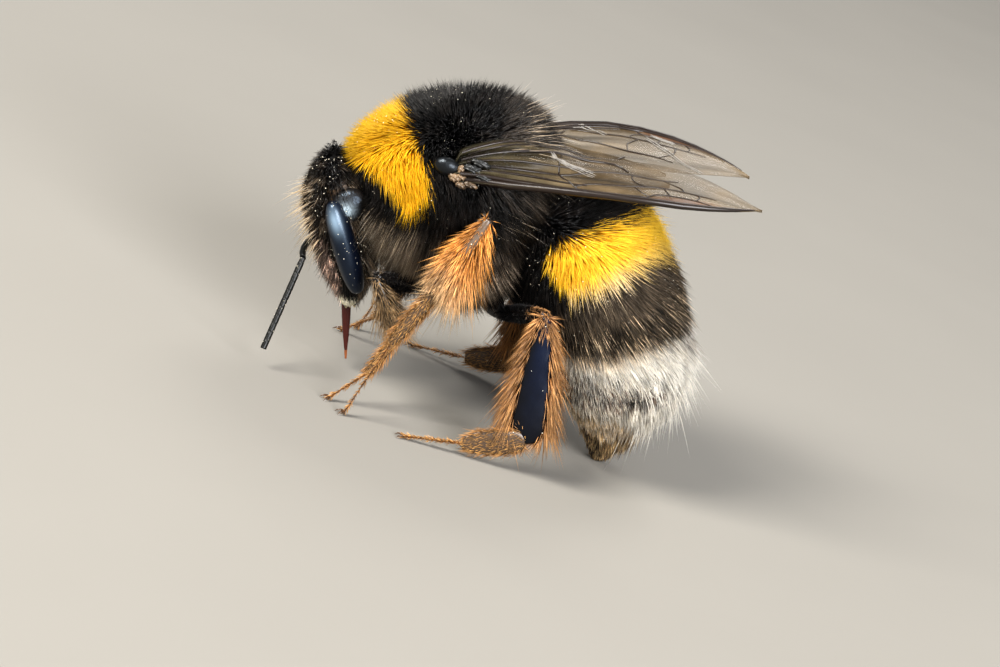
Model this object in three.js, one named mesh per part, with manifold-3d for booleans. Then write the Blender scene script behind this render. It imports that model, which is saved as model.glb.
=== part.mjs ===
// A bumblebee (Bombus terrestris), life size, standing still with the tip of its abdomen on the floor.
// Millimetres. +Z up, the head towards -X, the left side towards -Y, the floor at Z = 0.
// Every solid reaches out to the tips of the hair that covers it.
import * as THREE from 'three';
import { mergeVertices } from 'three/addons/utils/BufferGeometryUtils.js';
import Module from 'manifold-3d';

// ---- driving dimensions ----
const GAP = 0.08;                 // clearance between two pieces that meet
const CUT = 0.05;                 // share of a body section that is left out where two segments part
const BODY_SIDES = 18;            // facets round the head, thorax and abdomen
const SEGMENT_RINGS = 3;          // steps along one segment of the thorax or abdomen
const HEAD_RINGS = 9;             // steps along the head
const LIMB_SIDES = 8;             // facets round a leg segment or a wing
const THIN_SIDES = 7;             // facets round a feeler, foot or mouthpart
const BALL_SIDES = 12;            // facets round an eye or a wing scale, and rings over it
const BALL_RINGS = 8;
const LEFT = -1;                  // side of the body, as a factor on Y
const RIGHT = 1;

const HEAD_TOP = [-8.9, 8.15];    // X and Z of the crown, in the middle plane
const HEAD_DOWN = 65;             // degrees that the long axis of the head dips towards the mouth
const HEAD_LENGTH = 5.9;

const WING_ROOT = [-4.3, 3.1, 9.4];
const WING_TIP = [6.3, 3.0, 12.1];
const WING_ROOF = 6;              // degrees that a wing rises from its front edge to the middle plane
const WING_ARCH = 0.5;            // height of the bow along a wing
const WING_THICKNESS = 0.56;
const HINDWING_DROP = 0.66;       // from the middle of a forewing down to the middle of the hindwing

const FLOOR_SIZE = 40;            // side of the block that trims the soles
const FLOOR_DEPTH = 4;

// ---- colours and finishes ----
const finish = (color, roughness) => new THREE.MeshStandardMaterial({ color, roughness, metalness: 0 });
const BLACK_HAIR = finish(0x17130f, 0.85);
const YELLOW_HAIR = finish(0xe9a213, 0.8);
const WHITE_HAIR = finish(0xd9d5c4, 0.8);
const RUSTY_HAIR = finish(0xa8662c, 0.8);
const SHELL = finish(0x120e0c, 0.25);
const EYE = finish(0x0b1018, 0.12);
const MEMBRANE = finish(0x5a4636, 0.3);
const TONGUE = finish(0x4a2016, 0.35);

// ---- solids ----
const wasm = await Module();
wasm.setup();

const vec = (x, y, z) => new THREE.Vector3(x, y, z);
const SIDEWAYS = vec(0, 1, 0);

// The same point on the other side of the body
const sided = ([x, y, z], side) => vec(x, side * y, z);

function toSolid(geometry) {
  const bare = geometry.clone();
  bare.deleteAttribute('normal');
  bare.deleteAttribute('uv');
  const merged = mergeVertices(bare, 1e-5);
  const vertProperties = new Float32Array(merged.attributes.position.array);
  const triVerts = new Uint32Array(merged.index.array);
  return new wasm.Manifold(new wasm.Mesh({ numProp: 3, vertProperties, triVerts }));
}

function toGeometry(solid) {
  const mesh = solid.getMesh();
  const geometry = new THREE.BufferGeometry();
  geometry.setAttribute('position', new THREE.BufferAttribute(new Float32Array(mesh.vertProperties), 3));
  geometry.setIndex(new THREE.BufferAttribute(new Uint32Array(mesh.triVerts), 1));
  return geometry;
}

// An oval section: a centre, the unit directions of its two axes and its half lengths along them
const section = (centre, up, side, halfUp, halfSide) => ({ centre, up, side, halfUp, halfSide });

// A closed solid through a row of oval sections, with a flat face at either end
function loft(sections, sides) {
  const positions = [];
  for (const { centre, up, side, halfUp, halfSide } of sections) {
    for (let i = 0; i < sides; i++) {
      const angle = (2 * Math.PI * i) / sides;
      const point = centre.clone().addScaledVector(up, halfUp * Math.cos(angle));
      point.addScaledVector(side, halfSide * Math.sin(angle));
      positions.push(...point.toArray());
    }
  }
  const index = [];
  for (let ring = 0; ring + 1 < sections.length; ring++) {
    for (let i = 0; i < sides; i++) {
      const a = ring * sides + i;
      const b = ring * sides + ((i + 1) % sides);
      index.push(a, b, b + sides, a, b + sides, a + sides);
    }
  }
  const last = (sections.length - 1) * sides;
  for (let i = 1; i + 1 < sides; i++) {
    index.push(0, i + 1, i);
    index.push(last, last + i, last + i + 1);
  }
  const geometry = new THREE.BufferGeometry();
  geometry.setAttribute('position', new THREE.Float32BufferAttribute(positions, 3));
  geometry.setIndex(index);
  const along = sections.at(-1).centre.clone().sub(sections[0].centre);
  const turn = sections[0].up.clone().cross(sections[0].side).dot(along);
  if (turn < 0) {
    for (let i = 0; i < index.length; i += 3) {
      [index[i + 1], index[i + 2]] = [index[i + 2], index[i + 1]];
    }
    geometry.setIndex(index);
  }
  return toSolid(geometry);
}

// ---- trunk: head, thorax and abdomen ----
// A row of stations, each the X and Z of its upper and lower point and its half width,
// turned into smooth curves. slice() gives the solid between two stations.
class Trunk {
  constructor(stations) {
    this.last = stations.length - 1;
    this.upper = new THREE.CatmullRomCurve3(stations.map(([a, , half]) => vec(a[0], half, a[1])));
    this.lower = new THREE.CatmullRomCurve3(stations.map(([, b]) => vec(b[0], 0, b[1])));
  }

  at(station, grow) {
    const t = THREE.MathUtils.clamp(station / this.last, 0, 1);
    const high = this.upper.getPoint(t);
    const half = high.y;
    high.y = 0;
    const low = this.lower.getPoint(t);
    const up = high.clone().sub(low);
    const halfUp = up.length() / 2;
    const centre = high.add(low).multiplyScalar(0.5);
    return section(centre, up.normalize(), SIDEWAYS, halfUp + grow, half + grow);
  }

  slice(from, to, rings, grow = 0) {
    const sections = [];
    for (let i = 0; i <= rings; i++) {
      sections.push(this.at(from + ((to - from) * i) / rings, grow));
    }
    return loft(sections, BODY_SIDES);
  }
}

// Distances in the head run along its long axis from the crown, forwards from that axis, and sideways
const dip = THREE.MathUtils.degToRad(HEAD_DOWN);
const headDown = vec(Math.cos(dip), 0, -Math.sin(dip));
const headFront = vec(-Math.sin(dip), 0, -Math.cos(dip));
function inHead(down, front, sideways) {
  const point = vec(HEAD_TOP[0], sideways, HEAD_TOP[1]);
  return point.addScaledVector(headDown, down).addScaledVector(headFront, front);
}

// Crown to mouth: share of the head's length, how far the face and the back of the head stand
// from the axis, and the half width
const headOutline = [
  [0.0, 0.4, 0.3, 0.5],
  [0.06, 1.0, 0.8, 1.2],
  [0.2, 1.4, 1.35, 1.76],
  [0.4, 1.5, 1.6, 1.98],
  [0.61, 1.2, 1.5, 1.93],
  [0.79, 0.86, 1.2, 1.68],
  [0.92, 0.55, 0.8, 1.28],
  [1.0, 0.3, 0.45, 0.7],
];
const head = new Trunk(headOutline.map(([share, face, back, half]) => {
  const front = inHead(share * HEAD_LENGTH, face, 0);
  const rear = inHead(share * HEAD_LENGTH, -back, 0);
  return [[front.x, front.z], [rear.x, rear.z], half];
}));

const thorax = new Trunk([
  [[-8.35, 8.45], [-6.9, 7.3], 0.9],
  [[-8.55, 9.1], [-6.1, 6.3], 2.0],
  [[-7.95, 10.2], [-5.6, 5.3], 2.85],
  [[-6.8, 11.25], [-4.8, 4.75], 3.35],
  [[-5.2, 12.15], [-4.0, 4.35], 3.6],
  [[-3.5, 12.5], [-3.1, 4.2], 3.6],
  [[-2.1, 12.25], [-2.1, 4.35], 3.25],
  [[-1.25, 11.2], [-1.4, 4.9], 2.6],
]);
const PRONOTUM_END = 3;           // station where the pronotum meets the mesothorax
const SCUTELLUM_START = 5.4;      // station where the mesothorax meets the scutellum

const abdomen = new Trunk([
  [[-1.18, 10.3], [-1.3, 5.6], 2.4],
  [[2.3, 10.55], [-0.75, 4.95], 3.7],
  [[4.7, 8.65], [0.0, 5.05], 4.05],
  [[6.6, 5.9], [1.05, 3.7], 3.8],
  [[7.1, 4.05], [2.15, 2.2], 3.0],
  [[6.15, 1.95], [3.5, 1.15], 1.6],
  [[5.3, -0.05], [4.6, -0.05], 0.4],
]);

// ---- limbs ----
// A tube from one joint to the next. Its profile is a list of share of the length, half breadth
// and half thickness; broad gives the direction in which the breadth is measured.
function limb(from, to, profile, broad, sides, grow = 0, bend = vec(0, 0, 0)) {
  const along = to.clone().sub(from).normalize();
  const side = along.clone().cross(broad).normalize();
  const up = side.clone().cross(along).normalize();
  const length = from.distanceTo(to);
  const sections = profile.map(([share, breadth, thickness], i) => {
    const end = i === 0 ? -grow : i === profile.length - 1 ? grow : 0;
    const centre = from.clone().addScaledVector(along, share * length + end);
    centre.addScaledVector(bend, 4 * share * (1 - share));
    return section(centre, up, side, breadth + grow, thickness + grow);
  });
  return loft(sections, sides);
}

// A profile whose ends are rounded off, from a few breadths and thicknesses set out evenly between them
function rounded(breadths, thicknesses, tip = 0.55) {
  const count = breadths.length;
  const inner = breadths.map((breadth, i) => [0.06 + (0.88 * i) / (count - 1), breadth, thicknesses[i]]);
  const first = [0, breadths[0] * tip, thicknesses[0] * tip];
  const final = [1, breadths[count - 1] * tip, thicknesses[count - 1] * tip];
  return [first, ...inner, final];
}

// A foot: little joints like beads on a string, down to the last one that carries the claws
function beads(count, thick, thin) {
  const profile = [[0, thin, thin]];
  for (let i = 0; i < count; i++) {
    profile.push([(i + 0.6) / count, thick, thick]);
    profile.push([(i + 1) / count, thin, thin]);
  }
  return profile;
}

// Joints of the right legs, from the hip to the claws
const legs = {
  fore: {
    hip: [-4.9, 0.85, 5.15],
    trochanter: [-4.2, 1.6, 4.65],
    knee: [-5.95, 2.7, 4.7],
    ankle: [-4.4, 3.0, 2.95],
    instep: [-4.95, 3.4, 1.35],
    toes: [-6.05, 4.1, 0.27],
    femur: rounded([0.42, 0.5, 0.48, 0.34], [0.4, 0.45, 0.42, 0.32]),
    tibia: rounded([0.34, 0.62, 0.8, 0.6], [0.3, 0.36, 0.38, 0.34]),
    basitarsus: rounded([0.34, 0.36, 0.3], [0.28, 0.3, 0.27]),
    broad: vec(1, 0, 0.6),
    sole: vec(1, 0, 0.6),
  },
  middle: {
    hip: [-2.95, 1.0, 4.95],
    trochanter: [-2.6, 1.85, 4.95],
    knee: [-2.95, 4.15, 8.65],
    ankle: [-3.8, 4.65, 5.65],
    instep: [-4.7, 4.85, 3.15],
    toes: [-5.4, 5.1, 0.27],
    femur: rounded([0.42, 0.55, 0.5, 0.34], [0.36, 0.42, 0.4, 0.3]),
    tibia: rounded([0.36, 0.72, 1.12, 1.2, 0.62], [0.32, 0.42, 0.46, 0.46, 0.36]),
    basitarsus: rounded([0.44, 0.46, 0.36], [0.3, 0.32, 0.28]),
    broad: vec(1, 0, -0.3),
    sole: vec(1, 0, -0.3),
  },
  hind: {
    hip: [-1.55, 0.95, 5.0],
    trochanter: [-1.05, 1.8, 4.75],
    knee: [0.3, 4.2, 6.0],
    ankle: [1.3, 4.7, 1.3],
    instep: [-0.9, 5.0, 0.64],
    toes: [-3.05, 5.35, 0.27],
    femur: rounded([0.45, 0.62, 0.58, 0.42], [0.4, 0.46, 0.42, 0.34]),
    tibia: rounded([0.5, 0.85, 1.12, 1.2, 1.0], [0.34, 0.42, 0.44, 0.42, 0.36]),
    basitarsus: rounded([0.6, 0.62, 0.4], [0.3, 0.3, 0.26]),
    broad: vec(1, 0, 0.2),
    sole: vec(0, 0, 1),
  },
};
const COXA = rounded([0.55, 0.5], [0.5, 0.45]);
const TARSUS = beads(4, 0.29, 0.25);
function legSolids(leg, side, grow = 0) {
  const [hip, trochanter, knee, ankle, instep, toes] =
    ['hip', 'trochanter', 'knee', 'ankle', 'instep', 'toes'].map((joint) => sided(leg[joint], side));
  const upright = vec(0, 0, 1);
  return {
    coxa: limb(hip, trochanter, COXA, upright, LIMB_SIDES, grow),
    femur: limb(trochanter, knee, leg.femur, leg.broad, LIMB_SIDES, grow),
    tibia: limb(knee, ankle, leg.tibia, leg.broad, LIMB_SIDES, grow),
    basitarsus: limb(ankle, instep, leg.basitarsus, leg.sole, LIMB_SIDES, grow),
    tarsus: limb(instep, toes, TARSUS, upright, THIN_SIDES, grow),
  };
}

// ---- wings ----
// Stations in the plane of the wing: share of the way from root to tip, then where the front
// and the rear edge stand, measured inwards from the straight line between root and tip
const forewingStations = [
  [0, -0.2, 0.3], [0.1, -0.45, 0.5], [0.25, -0.8, 1.2], [0.4, -1.0, 2.1], [0.55, -1.05, 2.65],
  [0.7, -0.95, 2.7], [0.82, -0.7, 2.3], [0.92, -0.35, 1.5], [0.98, 0.0, 0.8], [1.01, 0.2, 0.5],
];
const hindwingStations = [
  [0.06, 0.15, 0.5], [0.2, 0.45, 1.3], [0.35, 0.65, 2.1], [0.5, 0.9, 2.55], [0.62, 1.25, 2.45],
  [0.7, 1.7, 2.2],
];

function wingSolid(stations, side, drop, grow = 0) {
  const root = sided(WING_ROOT, side);
  const span = sided(WING_TIP, side).sub(root);
  const along = span.clone().normalize();
  const roof = THREE.MathUtils.degToRad(WING_ROOF);
  const inwards = vec(0, -side * Math.cos(roof), Math.sin(roof));
  inwards.addScaledVector(along, -inwards.dot(along)).normalize();
  const upwards = along.clone().cross(inwards).multiplyScalar(-side).normalize();
  const sections = stations.map(([share, front, rear], i) => {
    const end = i === 0 ? -grow : i === stations.length - 1 ? grow : 0;
    const centre = root.clone().addScaledVector(span, share).addScaledVector(along, end);
    centre.addScaledVector(inwards, (front + rear) / 2);
    centre.addScaledVector(upwards, WING_ARCH * 4 * share * (1 - share) - drop);
    return section(centre, inwards, upwards, (rear - front) / 2 + grow, WING_THICKNESS / 2 + grow);
  });
  return loft(sections, LIMB_SIDES);
}

// ---- head parts ----
const EYE_HALF = [1.82, 0.72, 0.6];      // along the head, front to back, sideways
const EYE_PLACE = [3.22, -0.16, 1.58];
const EYE_SLANT = 7;                     // degrees that the lower end of an eye lies further in

function eyeSolid(side, grow = 0) {
  const ball = new THREE.SphereGeometry(1, BALL_SIDES, BALL_RINGS);
  ball.scale(EYE_HALF[1] + grow, EYE_HALF[0] + grow, EYE_HALF[2] + grow);
  ball.rotateX(THREE.MathUtils.degToRad(-side * EYE_SLANT));
  const basis = new THREE.Matrix4().makeBasis(
    headFront.clone().negate(),
    headDown.clone().negate(),
    headFront.clone().cross(headDown),
  );
  const [down, front, sideways] = EYE_PLACE;
  ball.applyMatrix4(basis.setPosition(inHead(down, front, side * sideways)));
  return toSolid(ball);
}

const ANTENNA_BASE = [-8.3, 0.45, 5.05];
// The left feeler reaches down and ahead, the right one is held out to its side.
const ANTENNA_ELBOW = { [LEFT]: [-8.7, 1.95, 4.2], [RIGHT]: [-8.45, 1.85, 4.35] };
const ANTENNA_TIP = { [LEFT]: [-8.95, 3.25, 0.75], [RIGHT]: [-7.4, 4.9, 2.6] };
const SCAPE = rounded([0.25, 0.27, 0.27], [0.25, 0.27, 0.27]);
const FLAGELLUM = rounded([0.25, 0.28, 0.28, 0.28, 0.25], [0.25, 0.28, 0.28, 0.28, 0.25]);
const SCAPE_BOW = vec(-0.25, 0, -0.1);

function antennaSolids(side, grow = 0) {
  const base = sided(ANTENNA_BASE, side);
  const elbow = sided(ANTENNA_ELBOW[side], side);
  const tip = sided(ANTENNA_TIP[side], side);
  const ahead = vec(1, 0, 0);
  return {
    scape: limb(base, elbow, SCAPE, ahead, THIN_SIDES, grow, SCAPE_BOW),
    flagellum: limb(elbow, tip, FLAGELLUM, ahead, THIN_SIDES, grow),
  };
}

const MANDIBLE_BASE = [5.5, 0.05, 0.85];
const MANDIBLE_TIP = [6.5, 0.0, 0.36];
const MANDIBLE = rounded([0.42, 0.36, 0.28], [0.3, 0.27, 0.25]);
const PROBOSCIS_BASE = [5.75, -0.35, 0];
const PROBOSCIS_TIP = [-5.62, 0, 0.5];
const PROBOSCIS = rounded([0.36, 0.32, 0.27, 0.25], [0.3, 0.28, 0.26, 0.25]);

function mandibleSolid(side, grow = 0) {
  const place = ([down, front, sideways]) => inHead(down, front, side * sideways);
  return limb(place(MANDIBLE_BASE), place(MANDIBLE_TIP), MANDIBLE, headFront, THIN_SIDES, grow);
}

const proboscisSolid = (grow = 0) =>
  limb(inHead(...PROBOSCIS_BASE), vec(...PROBOSCIS_TIP), PROBOSCIS, headFront, THIN_SIDES, grow);

// ---- tegula: the shell scale over the root of the wings ----
const TEGULA_HALF = [0.52, 0.3, 0.36];
const TEGULA_PLACE = [-5.0, 3.2, 9.75];

function tegulaSolid(side, grow = 0) {
  const scale = new THREE.SphereGeometry(1, BALL_SIDES, BALL_RINGS);
  scale.scale(...TEGULA_HALF.map((half) => half + grow));
  scale.translate(TEGULA_PLACE[0], side * TEGULA_PLACE[1], TEGULA_PLACE[2]);
  return toSolid(scale);
}

// ---- assembly ----
const group = new THREE.Group();
function add(name, solid, material) {
  const mesh = new THREE.Mesh(toGeometry(solid), material);
  mesh.name = name;
  group.add(mesh);
}

const floorBlock = new THREE.BoxGeometry(FLOOR_SIZE, FLOOR_SIZE, FLOOR_DEPTH);
floorBlock.translate(0, 0, -FLOOR_DEPTH / 2);
const floor = toSolid(floorBlock);

const carve = (solid, cutters) => cutters.reduce((rest, cutter) => rest.subtract(cutter), solid);
const sides = [['left', LEFT], ['right', RIGHT]];

// What stands in the coat of the trunk, one clearance larger than it is
const limbCutters = [];
const wingCutters = [];
for (const [, side] of sides) {
  for (const leg of Object.values(legs)) {
    const grown = legSolids(leg, side, GAP);
    limbCutters.push(grown.coxa, grown.femur, grown.tibia);
  }
  wingCutters.push(wingSolid(forewingStations, side, 0, GAP), tegulaSolid(side, GAP));
  wingCutters.push(wingSolid(hindwingStations, side, HINDWING_DROP, GAP));
}

// Head
const headPieces = [];
for (const [, side] of sides) {
  const antenna = antennaSolids(side, GAP);
  headPieces.push(eyeSolid(side, GAP), antenna.scape, antenna.flagellum, mandibleSolid(side, GAP));
}
headPieces.push(proboscisSolid(GAP));
const headGrown = head.slice(0, head.last, HEAD_RINGS, GAP);
add('head', carve(head.slice(0, head.last, HEAD_RINGS), headPieces), BLACK_HAIR);
const jaws = sides.map(([, side]) => mandibleSolid(side, GAP));
add('proboscis', carve(proboscisSolid(), jaws), TONGUE);
for (const [word, side] of sides) {
  const antenna = antennaSolids(side);
  add(`eye_${word}`, eyeSolid(side), EYE);
  add(`antenna_scape_${word}`, antenna.scape, SHELL);
  add(`antenna_flagellum_${word}`, carve(antenna.flagellum, [antennaSolids(side, GAP).scape]), SHELL);
  add(`mandible_${word}`, mandibleSolid(side), SHELL);
}

// Thorax
const pronotum = thorax.slice(0, PRONOTUM_END - CUT / 2, 2 * SEGMENT_RINGS);
const mesothorax = thorax.slice(PRONOTUM_END + CUT / 2, SCUTELLUM_START - CUT / 2, SEGMENT_RINGS);
const scutellum = thorax.slice(SCUTELLUM_START + CUT / 2, thorax.last, SEGMENT_RINGS);
add('pronotum', carve(pronotum, [headGrown, ...limbCutters, ...wingCutters]), YELLOW_HAIR);
add('mesothorax', carve(mesothorax, [...limbCutters, ...wingCutters]), BLACK_HAIR);
add('scutellum', carve(scutellum, [...limbCutters, ...wingCutters]), BLACK_HAIR);

// Abdomen: six plated segments from the waist to the tip
const segmentColours = [BLACK_HAIR, YELLOW_HAIR, BLACK_HAIR, WHITE_HAIR, WHITE_HAIR, RUSTY_HAIR];
segmentColours.forEach((material, i) => {
  const end = i + 1 === abdomen.last ? abdomen.last : i + 1 - CUT / 2;
  const plate = abdomen.slice(i + CUT / 2, end, SEGMENT_RINGS);
  add(`abdomen_segment_${i + 1}`, carve(plate, [...limbCutters, ...wingCutters, floor]), material);
});

// Wings
for (const [word, side] of sides) {
  add(`tegula_${word}`, tegulaSolid(side), SHELL);
  add(`forewing_${word}`, carve(wingSolid(forewingStations, side, 0), [tegulaSolid(side, GAP)]), MEMBRANE);
  add(`hindwing_${word}`, wingSolid(hindwingStations, side, HINDWING_DROP), MEMBRANE);
}

// Legs: each piece makes room for the one before it
const legColours = {
  coxa: SHELL,
  femur: SHELL,
  tibia: RUSTY_HAIR,
  basitarsus: RUSTY_HAIR,
  tarsus: RUSTY_HAIR,
};
for (const [word, side] of sides) {
  for (const [pair, leg] of Object.entries(legs)) {
    const grown = legSolids(leg, side, GAP);
    const room = [floor];
    for (const [name, solid] of Object.entries(legSolids(leg, side))) {
      add(`${pair}_${name}_${word}`, carve(solid, room), legColours[name]);
      room.push(grown[name]);
    }
  }
}

// The origin stands on the floor in the middle of the whole model
const box = new THREE.Box3().setFromObject(group);
const middle = box.getCenter(vec(0, 0, 0));
group.position.set(-middle.x, -middle.y, -box.min.z);

export default group;
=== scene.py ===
# %% [markdown]
# # A worker bumblebee, life size
# The model is still: it stands on its six feet and the tip of its abdomen. Its solids come packed as a
# fixed frame. This script gives them their looks: one skin for head, thorax and abdomen, a coat of single
# hairs over it, glassy eyes, shell plates, smoky wings, and jointed legs with brushes and a pollen basket.
# Shapes are worked out in millimetres of the bee, head towards -X and left side towards -Y, and moved into
# the frame in one place, so that every piece lands where its solid is.

# %% The fixed frame
import math
import bmesh
import bpy
import numpy as np
from mathutils import Matrix, Vector, kdtree


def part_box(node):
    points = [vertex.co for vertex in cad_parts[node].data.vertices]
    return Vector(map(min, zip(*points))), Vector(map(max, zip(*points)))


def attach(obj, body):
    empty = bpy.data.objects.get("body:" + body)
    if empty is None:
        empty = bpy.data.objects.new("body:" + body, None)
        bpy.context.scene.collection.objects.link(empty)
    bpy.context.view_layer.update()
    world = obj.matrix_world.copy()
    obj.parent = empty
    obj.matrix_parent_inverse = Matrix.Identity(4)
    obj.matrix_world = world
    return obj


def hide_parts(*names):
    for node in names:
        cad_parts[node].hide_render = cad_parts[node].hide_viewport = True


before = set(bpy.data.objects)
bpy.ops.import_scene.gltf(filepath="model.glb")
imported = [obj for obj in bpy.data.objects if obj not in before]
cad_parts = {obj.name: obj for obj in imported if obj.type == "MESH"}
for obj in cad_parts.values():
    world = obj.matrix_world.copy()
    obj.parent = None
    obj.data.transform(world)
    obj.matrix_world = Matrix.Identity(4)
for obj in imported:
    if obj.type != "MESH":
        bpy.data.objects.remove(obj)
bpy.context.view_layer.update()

# %% [markdown]
# The head has directions of its own: down its long axis from crown to mouth, out of the face, and sideways.
# The eyes are the two solids whose middle is easy to find, so they say how far the frame's origin lies
# from the bee's own.

# %% Millimetres of the bee, metres of the frame
MM = 0.001
LEFT, RIGHT = -1, 1
SIDES = {"left": LEFT, "right": RIGHT}
CROWN = np.array([-8.9, 0, 8.15])
HEAD_LENGTH = 5.9
HEAD_DIP = math.radians(65)
HEAD_DOWN = np.array([math.cos(HEAD_DIP), 0, -math.sin(HEAD_DIP)])
HEAD_FRONT = np.array([-math.sin(HEAD_DIP), 0, -math.cos(HEAD_DIP)])
ACROSS = np.array([0, 1.0, 0])
EYE_SOLID = (3.22, -0.16)      # middle of the eye solids, down and front of the crown


def in_head(down, front, sideways=0.0):
    """A point of the head, in bee millimetres."""
    return CROWN + np.multiply.outer(down, HEAD_DOWN) + np.multiply.outer(front, HEAD_FRONT) \
        + np.multiply.outer(sideways, ACROSS)


eye_corners = [np.array(corner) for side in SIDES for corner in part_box(f"eye_{side}")]
SHIFT = sum(eye_corners) / 4 / MM - in_head(*EYE_SOLID)


def to_frame(points):
    """Bee millimetres to frame metres."""
    return (np.asarray(points, float) + SHIFT) * MM


print("the bee's own origin lies at", SHIFT.round(3), "mm in the frame")

# %% [markdown]
# The camera looks at the bee's left side from a little above. It leans by as much as the bee was set level,
# so the animal keeps its pose in the picture while the floor tilts.

# %% Camera
LEAN = math.radians(21)
LOOK_DOWN = math.radians(18)
VIEW_DISTANCE = 106.84
VIEW_TARGET = np.array([-0.534, 0, 3.473])
LENS, SENSOR = 100, 36
leaning_up = np.array([-math.sin(LEAN), 0, math.cos(LEAN)])
view_right = np.array([math.cos(LEAN), 0, math.sin(LEAN)])
view_back = math.sin(LOOK_DOWN) * leaning_up - math.cos(LOOK_DOWN) * ACROSS
view_up = math.cos(LOOK_DOWN) * leaning_up + math.sin(LOOK_DOWN) * ACROSS
scene = bpy.context.scene


def put_in_scene(name, data):
    """A new object at the origin."""
    placed = bpy.data.objects.new(name, data)
    scene.collection.objects.link(placed)
    return placed


camera = put_in_scene("camera", bpy.data.cameras.new("camera"))
camera.data.lens, camera.data.sensor_width = LENS, SENSOR
camera.data.clip_start, camera.data.clip_end = 0.005, 10
eye_point = to_frame(VIEW_TARGET + VIEW_DISTANCE * view_back)
view_axes = np.stack([view_right, view_up, view_back], 1)
camera.matrix_world = Matrix([[*row, place] for row, place in zip(view_axes, eye_point)] + [[0, 0, 0, 1]])
scene.camera = camera
scene.view_settings.view_transform = "Standard"
scene.view_settings.look = "Medium High Contrast"
print("camera at", eye_point.round(4))

# %% [markdown]
# Soft light from large areas suits fur, because small lamps make every hair glitter. The key light stands
# up and to the left, a weaker one behind lights the fringe of the coat, the fill opens the shadows from
# the front, and a dim sky does the rest. The lamps are placed by the camera's own directions.

# %% Lights
LIGHTS = {   # right, up and back by the camera's directions, distance and size in metres, watts, colour
    "key_light": ((-0.5, 0.95, 0.9), 0.3, 0.12, 1.65, (1.0, 0.97, 0.92)),
    "rim_light": ((0.6, 1.1, -0.6), 0.3, 0.12, 0.35, (1.0, 0.97, 0.93)),
    "fill_light": ((0.7, 0.0, 1.0), 0.35, 0.2, 2.0, (0.98, 0.98, 1.0)),
}
LIT_POINT = (0, 0, 6)
SKY_COLOUR, SKY_STRENGTH = (0.82, 0.87, 0.95, 1), 0.35
for name, ((right, up, back), distance, size, watts, colour) in LIGHTS.items():
    light = put_in_scene(name, bpy.data.lights.new(name, "AREA"))
    light.data.size, light.data.energy, light.data.color = size, watts, colour
    towards = Vector(right * view_right + up * view_up + back * view_back).normalized()
    light.location = Vector(to_frame(LIT_POINT)) + towards * distance
    light.rotation_mode = "QUATERNION"
    light.rotation_quaternion = towards.to_track_quat("Z", "Y")
world = bpy.data.worlds.new("studio")
world.use_nodes = True
sky = world.node_tree.nodes["Background"].inputs
sky["Color"].default_value, sky["Strength"].default_value = SKY_COLOUR, SKY_STRENGTH
scene.world = world
print("lights:", *LIGHTS)

# %% [markdown]
# Every material and every Geometry Nodes tree below is wired in the script. One helper adds a node and
# feeds its sockets, by name or number, with a value or with another node's socket. The nodes that come up
# again and again, such as a Math node or a Mix node set to colours, get a short helper of their own.

# %% Wiring nodes
def add_node(tree, kind, inputs=None, **options):
    """A new node with its options set and its input sockets fed."""
    node = tree.nodes.new(kind)
    for option, value in options.items():
        setattr(node, option, value)
    for key, value in (inputs or {}).items():
        if isinstance(value, bpy.types.NodeSocket):
            tree.links.new(value, node.inputs[key])
        else:
            node.inputs[key].default_value = value
    return node


def node_out(tree, kind, inputs=None, **options):
    """The first output of a new node."""
    return add_node(tree, kind, inputs, **options).outputs[0]


def wire(tree, node, **links):
    """Links sockets into a node's inputs. An underscore stands for a space."""
    for name, value in links.items():
        tree.links.new(value, node.inputs[name.replace("_", " ")])


def maths(tree, operation, *values):
    """One Math node."""
    return node_out(tree, "ShaderNodeMath", dict(enumerate(values)), operation=operation)


def vectors(tree, operation, *values):
    """One Vector Math node. A scale factor is the fourth socket."""
    keys = (0, 3) if operation == "SCALE" else range(len(values))
    return node_out(tree, "ShaderNodeVectorMath", dict(zip(keys, values)), operation=operation)


def times(tree, first, second):
    return maths(tree, "MULTIPLY", first, second)


def scaled(tree, vector, factor):
    return vectors(tree, "SCALE", vector, factor)


def spread_range(tree, value, low, high, new_low=0.0, new_high=1.0):
    """One Map Range node: low and high become new_low and new_high, and nothing goes past them."""
    ranges = {"Value": value, 1: low, 2: high, 3: new_low, 4: new_high}
    return node_out(tree, "ShaderNodeMapRange", ranges)


def mix_colours(tree, factor, first, second):
    """One Mix node set to colours, whose colour sockets are numbers 6 and 7."""
    mix = add_node(tree, "ShaderNodeMix", {"Factor": factor, 6: first, 7: second}, data_type="RGBA")
    return mix.outputs[2]

# %% Groups and materials
FLOAT, COLOUR = "NodeSocketFloat", "NodeSocketColor"


def new_group(name, kind, inputs, outputs):
    """A node group with named sockets. Each input is (name, type, default)."""
    tree = bpy.data.node_groups.new(name, kind)
    for socket_name, socket_type, default in inputs:
        socket = tree.interface.new_socket(socket_name, in_out="INPUT", socket_type=socket_type)
        if default is not None:
            socket.default_value = default
    for socket_name, socket_type in outputs:
        tree.interface.new_socket(socket_name, in_out="OUTPUT", socket_type=socket_type)
    return tree, add_node(tree, "NodeGroupInput").outputs, add_node(tree, "NodeGroupOutput")


def new_material(name, **constants):
    """A material with a Principled shader. Constants go straight onto the shader's own sockets."""
    material = bpy.data.materials.new(name)
    material.use_nodes = True
    shader = material.node_tree.nodes["Principled BSDF"]
    for socket, value in constants.items():
        shader.inputs[socket.replace("_", " ")].default_value = value
    return material, material.node_tree, shader


def own_place(tree):
    """Where a point lies in the piece's own coordinates."""
    return add_node(tree, "ShaderNodeTexCoord").outputs["Object"]


def own_value(tree, name, output="Color"):
    """An attribute of the mesh, read in a shader."""
    return add_node(tree, "ShaderNodeAttribute", attribute_name=name).outputs[output]


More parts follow.
